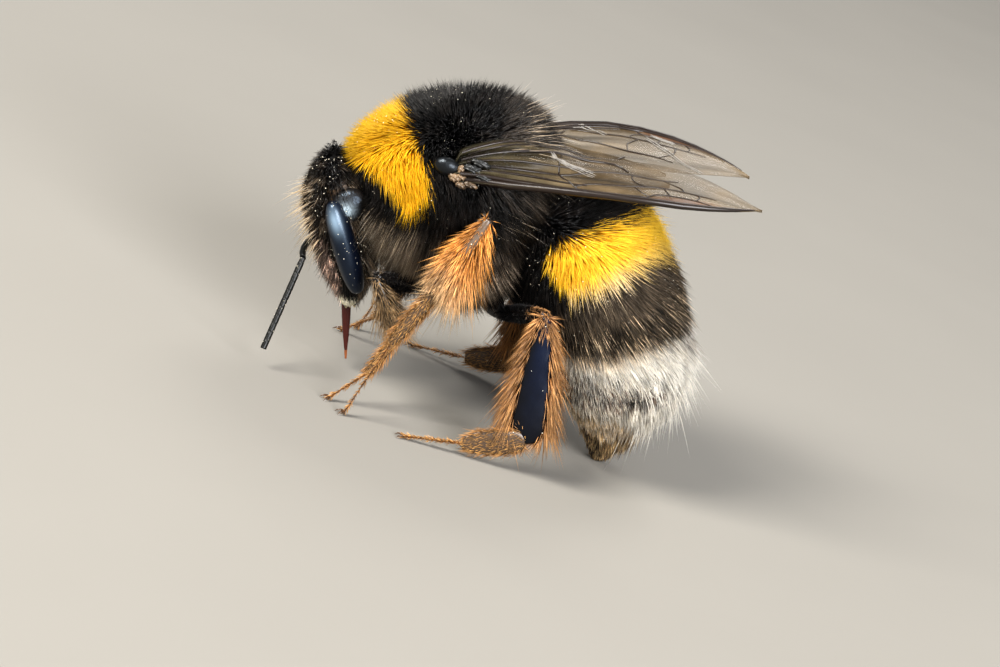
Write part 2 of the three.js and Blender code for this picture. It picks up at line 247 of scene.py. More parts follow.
def noise_at(tree, place, scale, detail):
    """A soft noise: its outputs are Fac and Color."""
    return add_node(tree, "ShaderNodeTexNoise", {"Vector": place, "Scale": scale, "Detail": detail}).outputs


def pits_at(tree, place, scale):
    """Distance from the middle of the nearest of many small cells."""
    return add_node(tree, "ShaderNodeTexVoronoi", {"Vector": place, "Scale": scale}).outputs["Distance"]


def bump_normal(tree, height, distance, strength):
    """Small relief, as a normal for the shader."""
    inputs = {"Height": height, "Distance": distance, "Strength": strength}
    return node_out(tree, "ShaderNodeBump", inputs)

# %% [markdown]
# The floor is a plain pale sheet that fills the view. It is faintly mottled.

# %% Floor
FLOOR_HALF = 1.5
FLOOR_TINTS = (0.215, 0.203, 0.18, 1), (0.235, 0.222, 0.197, 1)


def make_floor():
    """A pale plain floor, faintly mottled."""
    material, tree, shader = new_material("studio_floor", Roughness=0.9)
    cloud = noise_at(tree, own_place(tree), 60, 3)["Fac"]
    wire(tree, shader, Base_Color=mix_colours(tree, cloud, *FLOOR_TINTS))
    mesh = bpy.data.meshes.new("floor")
    corners = [(x * FLOOR_HALF, y * FLOOR_HALF, 0) for x, y in ((-1, -1), (1, -1), (1, 1), (-1, 1))]
    mesh.from_pydata(corners, [], [(0, 1, 2, 3)])
    mesh.materials.append(material)
    put_in_scene("floor", mesh)


make_floor()
print("floor:", 2 * FLOOR_HALF, "m wide")

# %% [markdown]
# The trunk is three lofts: head, thorax and abdomen. Each is a row of stations, and each station is an oval
# between an upper and a lower point in the middle plane. A smooth curve through the stations gives an oval
# anywhere between them. Past either end the oval shrinks over a dome, so that a loft closes in a pole. A
# subdivided cage would do for the shape too, but a loft also gives every point of the skin a station and an
# angle, and all of the coat's markings are written in those two numbers.

# %% Smooth rows of stations
def between(where, *pairs):
    """A value that runs through (place, value) pairs."""
    return np.interp(where, *zip(*pairs))


def smooth_row(rows, where):
    """Catmull-Rom curve through rows, read at places counted in rows."""
    rows = np.asarray(rows, float)
    where = np.clip(np.asarray(where, float), 0, len(rows) - 1)
    ends = np.vstack([2 * rows[0] - rows[1], rows, 2 * rows[-1] - rows[-2]])
    i = np.minimum(where.astype(int), len(rows) - 2)
    f = (where - i)[..., None]
    a, b, c, d = ends[i], ends[i + 1], ends[i + 2], ends[i + 3]
    return 0.5 * (2 * b + (c - a) * f + (2 * a - 5 * b + 4 * c - d) * f ** 2
                  + (3 * b - a - 3 * c + d) * f ** 3)


class Trunk:
    """A loft of ovals. Stations run from 0 to last, and one more at either end is a closing dome."""

    def __init__(self, stations, dome):
        self.upper = [[*upper, half] for upper, _, half in stations]
        self.lower = [[*lower, half] for _, lower, half in stations]
        self.last = len(stations) - 1
        first, last = (np.array(stations[i][0]) + stations[i][1] for i in (0, -1))
        rise = np.subtract(*stations[0][:2])
        forwards = np.sign(np.dot([rise[1], -rise[0]], last - first))
        self.dome = dome * forwards

    def point(self, station, angle, depth):
        """A point in bee millimetres. The angle is 0 on the back and positive on the right."""
        inside = np.clip(station, 0, self.last)
        past = np.clip(station - inside, -1, 1)
        upper, lower = smooth_row(self.upper, inside), smooth_row(self.lower, inside)
        middle, tall = (upper + lower)[..., :2] / 2, (upper - lower)[..., :2]
        height = np.linalg.norm(tall, axis=-1)
        rise = tall / height[..., None]
        shrink = np.sqrt(np.maximum(1 - past ** 2, 0))
        up = (height / 2 - depth) * np.cos(angle) * shrink
        out = past * self.dome
        x = middle[..., 0] + rise[..., 0] * up + rise[..., 1] * out
        z = middle[..., 1] + rise[..., 1] * up - rise[..., 0] * out
        return np.stack([x, (upper[..., 2] - depth) * np.sin(angle) * shrink, z], -1)

    def grid(self, first, last, rows, columns, depth):
        """Stations, angles and points of a grid of the skin. depth is a function of station and angle."""
        station, angle = np.meshgrid(np.linspace(first, last, rows), np.linspace(-np.pi, np.pi, columns),
                                     indexing="ij")
        return station, angle, self.point(station, angle, depth(station, np.abs(np.degrees(angle))))

# %% Head, thorax and abdomen
HEAD_OUTLINE = [  # share of the length, face and back of the head off the axis, half width
    (0.0, 0.4, 0.3, 0.5), (0.06, 1.0, 0.8, 1.2), (0.2, 1.4, 1.35, 1.76), (0.4, 1.5, 1.6, 1.98),
    (0.61, 1.2, 1.5, 1.93), (0.79, 0.86, 1.2, 1.68), (0.92, 0.55, 0.8, 1.28), (1.0, 0.3, 0.45, 0.7),
]


def head_station(share, face, back, half):
    """A station of the head, its upper point on the face."""
    front, rear = in_head(share * HEAD_LENGTH, face), in_head(share * HEAD_LENGTH, -back)
    return front[[0, 2]], rear[[0, 2]], half


head = Trunk([head_station(*row) for row in HEAD_OUTLINE], 0.3)
thorax = Trunk([   # upper point, lower point, half width
    ((-8.35, 8.45), (-6.9, 7.3), 0.9), ((-8.55, 9.1), (-6.1, 6.3), 2.0), ((-7.95, 10.2), (-5.6, 5.3), 2.85),
    ((-6.8, 11.25), (-4.8, 4.75), 3.35), ((-5.2, 12.15), (-4.0, 4.35), 3.6), ((-3.5, 12.5), (-3.1, 4.2), 3.6),
    ((-2.1, 12.25), (-2.1, 4.35), 3.25), ((-1.25, 11.2), (-1.4, 4.9), 2.6),
], 0.5)
abdomen = Trunk([
    ((-1.18, 10.3), (-1.3, 5.6), 2.4), ((2.3, 10.55), (-0.75, 4.95), 3.7), ((4.7, 8.65), (0, 5.05), 4.05),
    ((6.6, 5.9), (1.05, 3.7), 3.8), ((7.1, 4.05), (2.15, 2.2), 3.0), ((6.15, 1.95), (3.5, 1.15), 1.6),
    ((5.05, 0.0), (4.55, 0.0), 0.3),
], 0.15)
print("stations of head, thorax and abdomen:", *[trunk.last + 1 for trunk in (head, thorax, abdomen)])

# %% [markdown]
# The solids reach to the tips of the coat. So the skin is the same loft, drawn in by the depth of the coat:
# almost a millimetre on the back of the thorax, and a third of that on the face and under the abdomen.

# %% Depth of the coat
def head_depth(station, angle):
    """Deepest on the crown, thin on the face. The angle is 0 on the face and 180 behind."""
    return between(station, (0, 0.5), (1.5, 0.5), (4, 0.36), (7, 0.26)) * between(angle, (0, 0.9), (180, 1.1))


def thorax_depth(station, angle):
    return between(angle, (0, 0.95), (60, 0.95), (90, 0.85), (150, 0.55)) * between(station, (0, 0.6), (2, 1))


def abdomen_depth(station, angle):
    return between(station, (0, 0.8), (1, 0.65), (2, 0.55), (4, 0.5), (5, 0.35), (6, 0.12)) \
        * between(angle, (0, 1), (100, 1), (150, 0.6))


print("back of the thorax, skin:", thorax.point(np.array(4.0), np.array(0.0), 0.95).round(2))

# %% [markdown]
# A bumblebee's coat is tens of thousands of single hairs, each rooted in the cuticle. Hair curves would be
# the quick way, but they don't leave Blender, so each hair is a closed, three-sided, tapering mesh. One
# Geometry Nodes tree grows every coat. It scatters roots over a scalp, stands one hair on each, turns and
# stretches it as the scalp says, joins them, and then bends them all at once. The scalp's own attributes
# carry the plan: where hairs point and how they bend, how long and thick they are, how dense, and what
# colours. A band is a marking: a hair inside it takes the band's colours, and a little luck at the edge
# mixes the two kinds of hair as on the animal.

# %% Attributes and luck
NUMBER, ARROW, TINT = "FLOAT", "FLOAT_VECTOR", "FLOAT_COLOR"     # kinds of attribute


def read_attribute(tree, name, data_type):
    return node_out(tree, "GeometryNodeInputNamedAttribute", {"Name": name}, data_type=data_type)


def store_attribute(tree, geometry, name, value, data_type, domain="POINT"):
    inputs = {"Geometry": geometry, "Name": name, "Value": value}
    return node_out(tree, "GeometryNodeStoreNamedAttribute", inputs, data_type=data_type, domain=domain)


def drop_attributes(tree, geometry, names):
    for name in names:
        geometry = node_out(tree, "GeometryNodeRemoveAttribute", {0: geometry, "Name": name})
    return geometry


def luck(tree, seed, offset, vector=False):
    """A random number from 0 to 1 for each root, or a random vector from -1 to 1."""
    kind = ARROW if vector else NUMBER
    inputs = {"Seed": maths(tree, "ADD", seed, offset)}
    if vector:
        inputs[0], inputs[1] = (-1, -1, -1), (1, 1, 1)
    node = add_node(tree, "FunctionNodeRandomValue", inputs, data_type=kind)
    return node.outputs[0 if vector else 1]

# %% One hair
PATCH = 0.003     # width of one hair's patch on the baking map


def template_hair(tree, segments):
    """One hair, one long and one wide: a closed cone of three sides whose taper is drawn out into a curve."""
    sizes = {"Vertices": 3, "Side Segments": segments, "Radius Top": 0.0, "Radius Bottom": 1.0, "Depth": 1.0}
    cone = add_node(tree, "GeometryNodeMeshCone", sizes, fill_type="NGON")
    flat = store_attribute(tree, cone.outputs["Mesh"], "own_uv", cone.outputs["UV Map"], "FLOAT2", "CORNER")
    place = node_out(tree, "GeometryNodeInputPosition")
    x, y, z = add_node(tree, "ShaderNodeSeparateXYZ", {0: place}).outputs
    marked = store_attribute(tree, flat, "along", z, NUMBER)
    swell = maths(tree, "ADD", z, 1.0)
    wide = {0: times(tree, x, swell), 1: times(tree, y, swell), 2: z}
    fuller = node_out(tree, "ShaderNodeCombineXYZ", wide)
    shaped = node_out(tree, "GeometryNodeSetPosition", {"Geometry": marked, "Position": fuller})
    return node_out(tree, "GeometryNodeSetShadeSmooth", {0: shaped})

# %% How a hair lies
STRAY_LUCK = 0.93     # one hair in fourteen is a long stray


def hair_lay(tree, given, plan, noise):
    """Direction, length and bend of each hair. Neighbours share a pull, which gathers them into locks."""
    seed = given["Seed"]
    centred = vectors(tree, "SUBTRACT", noise["Color"], (0.5, 0.5, 0.5))
    pull = scaled(tree, centred, given["Clump"])
    own_pull = scaled(tree, luck(tree, seed, 1, True), given["Spread"])
    aim = vectors(tree, "NORMALIZE", vectors(tree, "ADD", vectors(tree, "ADD", plan["aim"], pull), own_pull))
    shorter = times(tree, given["Vary"], luck(tree, seed, 2))
    is_stray = maths(tree, "GREATER_THAN", luck(tree, seed, 3), STRAY_LUCK)
    strays = times(tree, is_stray, given["Stray"])
    share = maths(tree, "ADD", maths(tree, "SUBTRACT", 1.0, shorter), strays)
    length = times(tree, plan["reach"], share)
    waver = scaled(tree, luck(tree, seed, 5, True), given["Frizz"])
    sweep = vectors(tree, "ADD", vectors(tree, "ADD", plan["sweep"], waver),
                    scaled(tree, pull, 0.5))
    return aim, length, scaled(tree, sweep, length)

# %% What colour a hair takes
LOCK_NOISE = (0.43, 0.57)     # the noise's middle stretch, drawn out to dark and light locks


def hair_tints(tree, given, plan, noise):
    """Root and tip tints, from the plan or from its band, and a tone that neighbours share in part."""
    seed = given["Seed"]
    chance = maths(tree, "SUBTRACT", times(tree, luck(tree, seed, 4), 2.0), 1.0)
    edge = maths(tree, "ADD", plan["band"], times(tree, chance, given["Edge"]))
    in_band = maths(tree, "GREATER_THAN", edge, 0.0)
    root, tip = (mix_colours(tree, in_band, plan[f"{end}_tint"], plan[f"band_{end}"])
                 for end in ("root", "tip"))
    locks = spread_range(tree, noise["Fac"], *LOCK_NOISE)
    own_tone = times(tree, luck(tree, seed, 6), maths(tree, "SUBTRACT", 1.0, given["Locks"]))
    return root, tip, maths(tree, "MULTIPLY_ADD", locks, given["Locks"], own_tone)

# %% Hairs on their roots
PLAN_VECTORS = ("aim", "sweep", "unwrap")
PLAN_FLOATS = ("reach", "girth", "density", "band")
PLAN_COLOURS = ("root_tint", "tip_tint", "band_root", "band_tip")


def stand_hairs(tree, given, plan, noise, roots):
    """One hair on each root, turned and stretched. What the bending needs goes along as attributes."""
    aim, length, bend = hair_lay(tree, given, plan, noise)
    root, tip, tone = hair_tints(tree, given, plan, noise)
    size = node_out(tree, "ShaderNodeCombineXYZ", {0: plan["girth"], 1: plan["girth"], 2: length})
    points = roots
    for name, value, kind in (
            ("bend", bend, ARROW), ("hair_aim", aim, ARROW), ("hair_size", size, ARROW),
            ("tone", tone, NUMBER), ("new_root", root, TINT), ("tip_tint", tip, TINT)):
        points = store_attribute(tree, points, name, value, kind)
    points = store_attribute(tree, points, "root_tint", read_attribute(tree, "new_root", TINT),
                             TINT)
    spent = ("aim", "sweep", "new_root", *PLAN_FLOATS, "band_root", "band_tip")
    points = drop_attributes(tree, points, spent)
    turn = node_out(tree, "FunctionNodeAlignRotationToVector",
                    {"Vector": read_attribute(tree, "hair_aim", ARROW)}, axis="Z")
    hairs = node_out(tree, "GeometryNodeInstanceOnPoints",
                     {"Points": points, "Instance": template_hair(tree, given["Segments"]), "Rotation": turn,
                      "Scale": read_attribute(tree, "hair_size", ARROW)})
    return node_out(tree, "GeometryNodeRealizeInstances", {0: hairs})

# %% Bending the coat
def bend_coat(tree, given, coat, place):
    """Tips swing by the bend, roots stay, nothing goes under the floor, and each hair gets a baking patch."""
    along = read_attribute(tree, "along", NUMBER)
    push = scaled(tree, read_attribute(tree, "bend", ARROW), times(tree, along, along))
    x, y, z = add_node(tree, "ShaderNodeSeparateXYZ", {0: vectors(tree, "ADD", place, push)}).outputs
    above = node_out(tree, "ShaderNodeCombineXYZ", {0: x, 1: y, 2: maths(tree, "MAXIMUM", z, given["Floor"])})
    coat = node_out(tree, "GeometryNodeSetPosition", {"Geometry": coat, "Position": above})
    own = scaled(tree, read_attribute(tree, "own_uv", ARROW), PATCH)
    patch = vectors(tree, "ADD", read_attribute(tree, "unwrap", ARROW), own)
    coat = store_attribute(tree, coat, "OFBake", patch, "FLOAT2", "CORNER")
    return drop_attributes(tree, coat, ("hair_aim", "hair_size", "bend", "unwrap", "own_uv"))

# %% The whole tree
SHAPE_IN, SHAPE_OUT = ("Geometry", "NodeSocketGeometry", None), [("Geometry", "NodeSocketGeometry")]
FINISH_IN = ("Material", "NodeSocketMaterial", None)


def finish_tree(tree, given, result, geometry):
    """Makes every instance real, gives the result its material and hands it out."""
    whole = node_out(tree, "GeometryNodeRealizeInstances", {0: geometry})
    painted = add_node(tree, "GeometryNodeSetMaterial", {"Geometry": whole, "Material": given["Material"]})
    tree.links.new(painted.outputs[0], result.inputs[0])
    return tree


def build_coat_tree():
    inputs = [SHAPE_IN, ("Seed", "NodeSocketInt", 1), ("Segments", "NodeSocketInt", 2),
              ("Spread", FLOAT, 0.15), ("Clump", FLOAT, 0.3), ("Clump size", FLOAT, 0.0004),
              ("Vary", FLOAT, 0.35), ("Stray", FLOAT, 0.3), ("Frizz", FLOAT, 0.06), ("Edge", FLOAT, 0.12),
              ("Locks", FLOAT, 0.5), ("Floor", FLOAT, 0.00002), FINISH_IN]
    tree, given, result = new_group("coat", "GeometryNodeTree", inputs, SHAPE_OUT)
    plan = {name: read_attribute(tree, name, ARROW) for name in PLAN_VECTORS}
    plan.update({name: read_attribute(tree, name, NUMBER) for name in PLAN_FLOATS})
    plan.update({name: read_attribute(tree, name, TINT) for name in PLAN_COLOURS})
    roots = add_node(tree, "GeometryNodeDistributePointsOnFaces",
                     {"Mesh": given["Geometry"], "Density": plan["density"], "Seed": given["Seed"]})
    place = node_out(tree, "GeometryNodeInputPosition")
    step = maths(tree, "DIVIDE", 1.0, given["Clump size"])
    noise = noise_at(tree, place, step, 2)
    coat = stand_hairs(tree, given, plan, noise, roots.outputs["Points"])
    return finish_tree(tree, given, result, bend_coat(tree, given, coat, place))


coat_tree = build_coat_tree()
print("the coat tree has", len(coat_tree.nodes), "nodes")

# %% [markdown]
# A Geometry Nodes modifier makes its result anew each time, so the tree runs once on a bare object, its
# result is copied to a new mesh, and the bare object goes. Every piece is then handed to the frame, where it
# rides on the one body.

# %% From a tree to a plain piece
def run_tree(name, mesh, tree, **settings):
    """Runs a Geometry Nodes tree on a mesh and returns the result as a plain piece."""
    bare = put_in_scene(name + "_bare", mesh)
    modifier = bare.modifiers.new(tree.name, "NODES")
    modifier.node_group = tree
    for item in tree.interface.items_tree:
        key = item.name.lower().replace(" ", "_")
        if item.in_out == "INPUT" and key in settings:
            modifier[item.identifier] = settings.pop(key)
    assert not settings, f"{tree.name} has no input {list(settings)}"
    evaluated = bare.evaluated_get(bpy.context.evaluated_depsgraph_get())
    made = bpy.data.meshes.new_from_object(evaluated)
    made.name = name
    bpy.data.objects.remove(bare)
    return put_in_scene(name, made)


def hand_over(piece, slot, replaced=()):
    """Gives a finished piece to the frame and returns its number of triangles."""
    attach(piece, "root")
    if replaced:
        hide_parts(*replaced)
    triangles = sum(len(face.vertices) - 2 for face in piece.data.polygons)
    print(piece.name, triangles, "triangles")
    return triangles

# %% [markdown]
# The plan of a coat is a set of numbers for each point of its scalp. A scalp is a grid over the skin, so it
# knows three directions at every point: out of the skin, on towards the next station, and down from the
# top line. A look is a function that turns station and angle into lift, lay, length and colours. Written
# as functions rather than painted, the same plan colours the hairs and the skin beneath them.

# %% Kinds of hair
COLOURS = {       # roots and tips of each kind of hair, in linear light
    "black": ((0.003, 0.0025, 0.0025), (0.012, 0.0095, 0.008)),
    "grey brown": ((0.01, 0.007, 0.005), (0.37, 0.28, 0.19)),
    "ash brown": ((0.018, 0.014, 0.01), (0.54, 0.43, 0.32)),
    "orange yellow": ((0.9, 0.42, 0.002), (0.98, 0.59, 0.02)),
    "lemon": ((0.95, 0.47, 0.002), (0.98, 0.65, 0.06)),
    "pink brown": ((0.16, 0.08, 0.055), (0.86, 0.63, 0.52)),
    "blond": ((0.1, 0.06, 0.03), (0.7, 0.52, 0.3)),
    "gold": ((0.1, 0.055, 0.02), (0.72, 0.42, 0.13)),
    "white": ((0.5, 0.43, 0.33), (0.97, 0.93, 0.83)),
    "dusky white": ((0.16, 0.12, 0.08), (0.93, 0.83, 0.66)),
    "dark brown": ((0.012, 0.007, 0.004), (0.14, 0.08, 0.042)),
    "tail": ((0.05, 0.03, 0.014), (0.95, 0.68, 0.36)),
    "rust": ((0.4, 0.13, 0.02), (0.86, 0.42, 0.11)),
    "rust brown": ((0.2, 0.075, 0.02), (0.6, 0.31, 0.11)),
    "cream": ((0.55, 0.26, 0.07), (0.95, 0.8, 0.55)),
}


def mix_hair(kind, shape):
    """Root and tip colours over a grid: one kind of hair, or (kind, kind, share of the second)."""
    if isinstance(kind, str):
        return [np.broadcast_to(np.array(tint), shape + (3,)) for tint in COLOURS[kind]]
    first, second, share = kind
    share = np.broadcast_to(share, shape)[..., None]
    return [(1 - share) * np.array(a) + share * np.array(b) for a, b in zip(COLOURS[first], COLOURS[second])]

# %% Grids and their directions
def grid_faces(rows, columns, closed=False):
    """Quads of a grid of points kept row by row. closed joins the last column to the first."""
    row = np.arange(rows - 1)[:, None] * columns
    column = np.arange(columns if closed else columns - 1)[None]
    here, beside = row + column, row + (column + 1) % columns
    return np.stack([here, beside, beside + columns, here + columns], -1).reshape(-1, 4)


def unit(v):
    return v / np.maximum(np.linalg.norm(v, axis=-1, keepdims=True), 1e-9)


def grid_directions(points, angle):
    """Outward normals, directions along the rows' stations, and directions away from the top line."""
    onwards = unit(np.gradient(points, axis=0))
    around = unit(np.gradient(points, axis=1))
    outwards = unit(np.cross(around, onwards))
    centre = points.mean(axis=1, keepdims=True)
    outwards *= np.sign(np.sum(outwards * (points - centre), -1, keepdims=True).mean() + 1e-9)
    return outwards, onwards, around * np.where(angle < 0, -1.0, 1.0)[..., None]


def add_plan(mesh, name, values, kind=NUMBER):
    """Stores one number, vector or colour for each point of a mesh."""
    key = {NUMBER: "value", ARROW: "vector", TINT: "color"}[kind]
    if kind == TINT:
        values = np.concatenate([values, np.ones(values.shape[:-1] + (1,))], -1)
    values = np.ascontiguousarray(values, np.float32)
    mesh.attributes.new(name, kind, "POINT").data.foreach_set(key, values.ravel())

# %% The scalp of a coat
UNWRAP_SPAN = (0.01, 0.985)     # the baking map leaves room for a patch at its far edges
NO_BAND = -9.0
scalps = []       # points and root colours of every scalp, which the skin takes its markings from


def make_scalp(name, station, angle, points, look, signed=False):
    """The bare scalp of a coat. look(station, degrees) gives its plan: lift off the skin, onward and down
    shares of the lay, curl, reach and girth in millimetres, hairs for each square millimetre, and colours,
    with a factor of painted shade that darkens them. Both sides look alike unless signed."""
    outwards, onwards, down = grid_directions(points, angle)
    degrees = np.degrees(angle)
    plan = {"down": 0.0, **look(station, degrees if signed else np.abs(degrees))}
    shape = station.shape
    full = {key: np.broadcast_to(np.asarray(value, float), shape) for key, value in plan.items()
            if key not in ("hair", "band_hair")}
    lay = full["onward"][..., None] * onwards + full["down"][..., None] * down
    mesh = bpy.data.meshes.new(name)
    mesh.from_pydata(to_frame(points).reshape(-1, 3), [], grid_faces(*shape))
    rows, columns = np.meshgrid(*[np.linspace(*UNWRAP_SPAN, count) for count in shape], indexing="ij")
    add_plan(mesh, "aim", unit(full["lift"][..., None] * outwards + lay), ARROW)
    add_plan(mesh, "sweep", unit(lay) * full["curl"][..., None], ARROW)
    add_plan(mesh, "unwrap", np.stack([columns, rows, rows * 0], -1), ARROW)
    add_plan(mesh, "reach", full["reach"] * MM)
    add_plan(mesh, "girth", full["girth"] * MM / 2)
    add_plan(mesh, "density", np.maximum(full["density"], 0) / MM ** 2)
    add_plan(mesh, "band", full.get("band", np.full(shape, NO_BAND)))
    # The plan's shade is painted shade: it darkens the hair's root and tip tints.
    painted_shade = full.get("shade", np.ones(shape))[..., None]
    plain, marked = mix_hair(plan["hair"], shape), mix_hair(plan.get("band_hair", "black"), shape)
    for key, tint in zip(PLAN_COLOURS, (*plain, *marked)):
        add_plan(mesh, key, tint * painted_shade, TINT)
    in_band = full["band"][..., None] > 0 if "band" in full else np.zeros(shape + (1,), bool)
    scalps.append((points.reshape(-1, 3), np.where(in_band, marked[0], plain[0]).reshape(-1, 3)))
    return mesh

# %% [markdown]
# Hair colour comes from the hair's own attributes: root and tip tints, how far along it a point lies, and
# its tone. The root is darker, as little light reaches it. Black hair gets a wider range of tones than
# pale hair, skewed so that most of it stays deep black and a few locks catch the light. One shader group
# serves every coat, and each finish sets its own numbers.

# %% The hair's colour
DARK_RANGE, DARK_SKEW = 0.9, 4.0     # of black hair
DARK_TO_PALE = (0.03, 0.2)           # brightness of the tip from which on a hair counts as pale
TIP_POWER = 0.8                      # below 1, the tip's tint reaches further down the hair


def build_hair_group():
    inputs = [("Root shade", FLOAT, 0.45), ("Tone range", FLOAT, 0.25), ("Tone skew", FLOAT, 1.0)]
    tree, given, result = new_group("hair_colour", "ShaderNodeTree", inputs, [("Colour", COLOUR)])
    along, tip_tint = own_value(tree, "along", "Fac"), own_value(tree, "tip_tint")
    tint = mix_colours(tree, maths(tree, "POWER", along, TIP_POWER), own_value(tree, "root_tint"), tip_tint)
    bright = node_out(tree, "ShaderNodeRGBToBW", {0: tip_tint})
    pale = spread_range(tree, bright, *DARK_TO_PALE)

    def by_kind(dark_value, socket):
        change = maths(tree, "SUBTRACT", given[socket], dark_value)
        return maths(tree, "MULTIPLY_ADD", change, pale, dark_value)

    skew, tone_range = by_kind(DARK_SKEW, "Tone skew"), by_kind(DARK_RANGE, "Tone range")
    lucky = times(tree, maths(tree, "POWER", own_value(tree, "tone", "Fac"), skew),
                  maths(tree, "ADD", skew, 1.0))
    light = maths(tree, "MULTIPLY_ADD", maths(tree, "SUBTRACT", lucky, 1.0), tone_range, 1.0)
    shade = spread_range(tree, along, 0.0, 0.5, given["Root shade"], 1.0)
    wire(tree, result, Colour=scaled(tree, tint, times(tree, light, shade)))
    return tree


hair_group = build_hair_group()

# %% Finishes of the coat
WARM_SHEEN = (1, 0.97, 0.9, 1)


def make_hair_material(name, roughness, root_shade, tone_range, tone_skew, specular=0.5, sheen=0.0):
    material, tree, shader = new_material(name, Roughness=roughness, Specular_IOR_Level=specular,
                                          Sheen_Weight=sheen, Sheen_Tint=WARM_SHEEN)
    group = add_node(tree, "ShaderNodeGroup", node_tree=hair_group)
    for socket, value in (("Root shade", root_shade), ("Tone range", tone_range), ("Tone skew", tone_skew)):
        group.inputs[socket].default_value = value
    wire(tree, shader, Base_Color=group.outputs["Colour"])
    return material


hair_finish = {
    "coat_black": make_hair_material("coat_black", 0.3, 0.45, 0.9, 4.0, 0.36),
    "coat_yellow": make_hair_material("coat_yellow", 0.5, 0.9, 0.2, 1.0, 0.3),
    "coat_white": make_hair_material("coat_white", 0.45, 0.65, 0.5, 1.0, sheen=0.5),
    "coat_rust": make_hair_material("coat_rust", 0.4, 0.6, 0.5, 1.5),
}
coat_sizes = []


def grow_coat(name, slot, scalp, **settings):
    """Grows a coat on a scalp and hands it over."""
    coat = run_tree(name, scalp, coat_tree, material=hair_finish[slot], **settings)
    coat_sizes.append(hand_over(coat, slot))


def trunk_coat(name, slot, trunk, first, last, depth, look, size, **settings):
    """A coat over a stretch of a loft, with a scalp grid of that many rows and columns."""
    station, angle, points = trunk.grid(first, last, *size, depth)
    grow_coat(name, slot, make_scalp(name + "_scalp", station, angle, points, look), **settings)

# %% [markdown]
# The thorax has a yellow collar in front and a black back. The collar is broad on the back and runs down
# in front of the wings to a blunt end. On top its hair leans forwards. At the sides it is combed down and
# back, with cream hairs among the yellow. The hair of the back stands up, and behind it leans over the
# waist in pale wisps. The chest's hair is longer, hangs, and is greyer.

# %% Thorax coat
def thorax_look(station, angle):
    front = between(angle, (0, -0.9), (15, -0.3), (30, 0.5), (45, 1.2), (60, 1.68), (75, 2.2), (87, 2.7),
                    (96, 3.3))
    rear = between(angle, (0, 2.9), (30, 3.1), (45, 3.2), (60, 3.3), (77, 3.45), (86, 3.3), (96, 2.9))
    below = np.clip((angle - 95) / 22, 0, 1)
    pale = np.clip((station - 4.6) / 1.6, 0, 1) * between(angle, (0, 0.4), (50, 0.3), (70, 0.1), (100, 0))
    combed = between(station, (0.2, 0), (1.4, 1), (2.8, 1), (4.4, 0)) \
        * between(angle, (0, 0), (62, 1), (78, 1), (94, 0))
    turned_back = combed * between(angle, (30, 0), (60, 1))
    creamy = between(angle, (60, 0), (80, 0.5), (92, 0.2)) * between(station, (0.6, 1), (2.4, 0))
    return {
        "lift": between(station, (-1, 0.45), (1, 0.7), (4, 0.85), (5.5, 0.75), (8, 0.5))
        * between(angle, (60, 1), (120, 0.6)) * (1 - 0.35 * combed),
        "onward": between(station, (-1, -0.45), (1.5, -0.4), (3.5, -0.1), (4.5, 0.1), (6, 0.5), (8, 0.6))
        + 0.6 * turned_back,
        "down": between(angle, (0, 0), (40, 0.1), (90, 0.45), (130, 0.5), (180, 0)) + 0.65 * combed,
        "curl": between(angle, (0, 0.12), (90, 0.3)),
        "reach": between(station, (-1, 0.6), (1, 0.8), (3, 1.1), (5, 1.22), (6, 1.1), (8, 0.9))
        * between(angle, (40, 1), (70, 1.1), (95, 1.1), (115, 1.35), (180, 0.9)),
        "girth": 0.034,
        "density": between(angle, (0, 430), (120, 380), (180, 110))
        * between(station, (-1, 0.5), (0, 1), (7, 1), (8, 0.4)),
        # Painted shade: the hair's colours darken towards the top line of the thorax.
        "shade": between(angle, (0, 0.52), (30, 0.64), (48, 1)),
        "band": np.minimum(station - front, rear - station),
        "band_hair": ("orange yellow", "cream", creamy),
        "hair": ("black", "ash brown", np.maximum(0.66 * below, 0.72 * pale)),
    }


THORAX_COATS = (("collar", "coat_yellow", -1, 2.4, 0.2), ("shoulders", "coat_yellow", 2.4, 3.8, 0.2),
                ("back", "coat_black", 3.8, 5.2, 0.3), ("scutellum", "coat_black", 5.2, 8, 0.3))
for seed, (name, slot, first, last, clump) in enumerate(THORAX_COATS, 1):
    trunk_coat("coat_" + name, slot, thorax, first, last, thorax_depth, thorax_look, (40, 120), seed=seed,
               clump=clump, vary=0.26, stray=0.15)

# %% [markdown]
# The abdomen has six segments. The first is black, with long hair that parts at its side and fans out, and
# a yellow rim. The second is yellow, lemon and cream towards its slanting rear edge, and then black-brown.
# The third starts black-brown and ends in white. The fourth and fifth are white, dusky on the flanks, with
# a thin dark gap between them where the coat is short and sparse. The last is golden brown. The coat lies
# back along the body.

# %% First segment
PARTING = 62     # angle of the line that the first segment's hair fans out from


def fan(angle):
    """How far the hair beside the parting turns down, or up where it is negative."""
    return np.clip((angle - PARTING) / 40, -0.55, 0.5)


def first_segment_look(station, angle):
    front = between(angle, (0, 1.05), (30, 0.98), (45, 0.86), (60, 0.66), (75, 0.46), (90, 0.48), (101, 0.62),
                    (106, 2))
    return {
        "lift": between(station, (-1, 0.6), (0, 0.6), (1, 0.45)),
        "onward": between(station, (-1, 0.25), (0.2, 0.4), (1, 0.85)),
        "down": fan(angle),
        "curl": 0.25,
        "reach": between(station, (-1, 0.5), (0, 0.8), (0.4, 1.1), (0.8, 1.3), (1, 1.25))
        * between(angle, (55, 1), (75, 0.75), (110, 0.75), (150, 0.55)),
        "girth": 0.034,
        "density": between(station, (-1, 60), (-0.4, 300), (1, 380)) * between(angle, (110, 1), (160, 0.35)),
        "band": station - front,
        "band_hair": ("orange yellow", "lemon", 0.75),
        "hair": "black",
    }


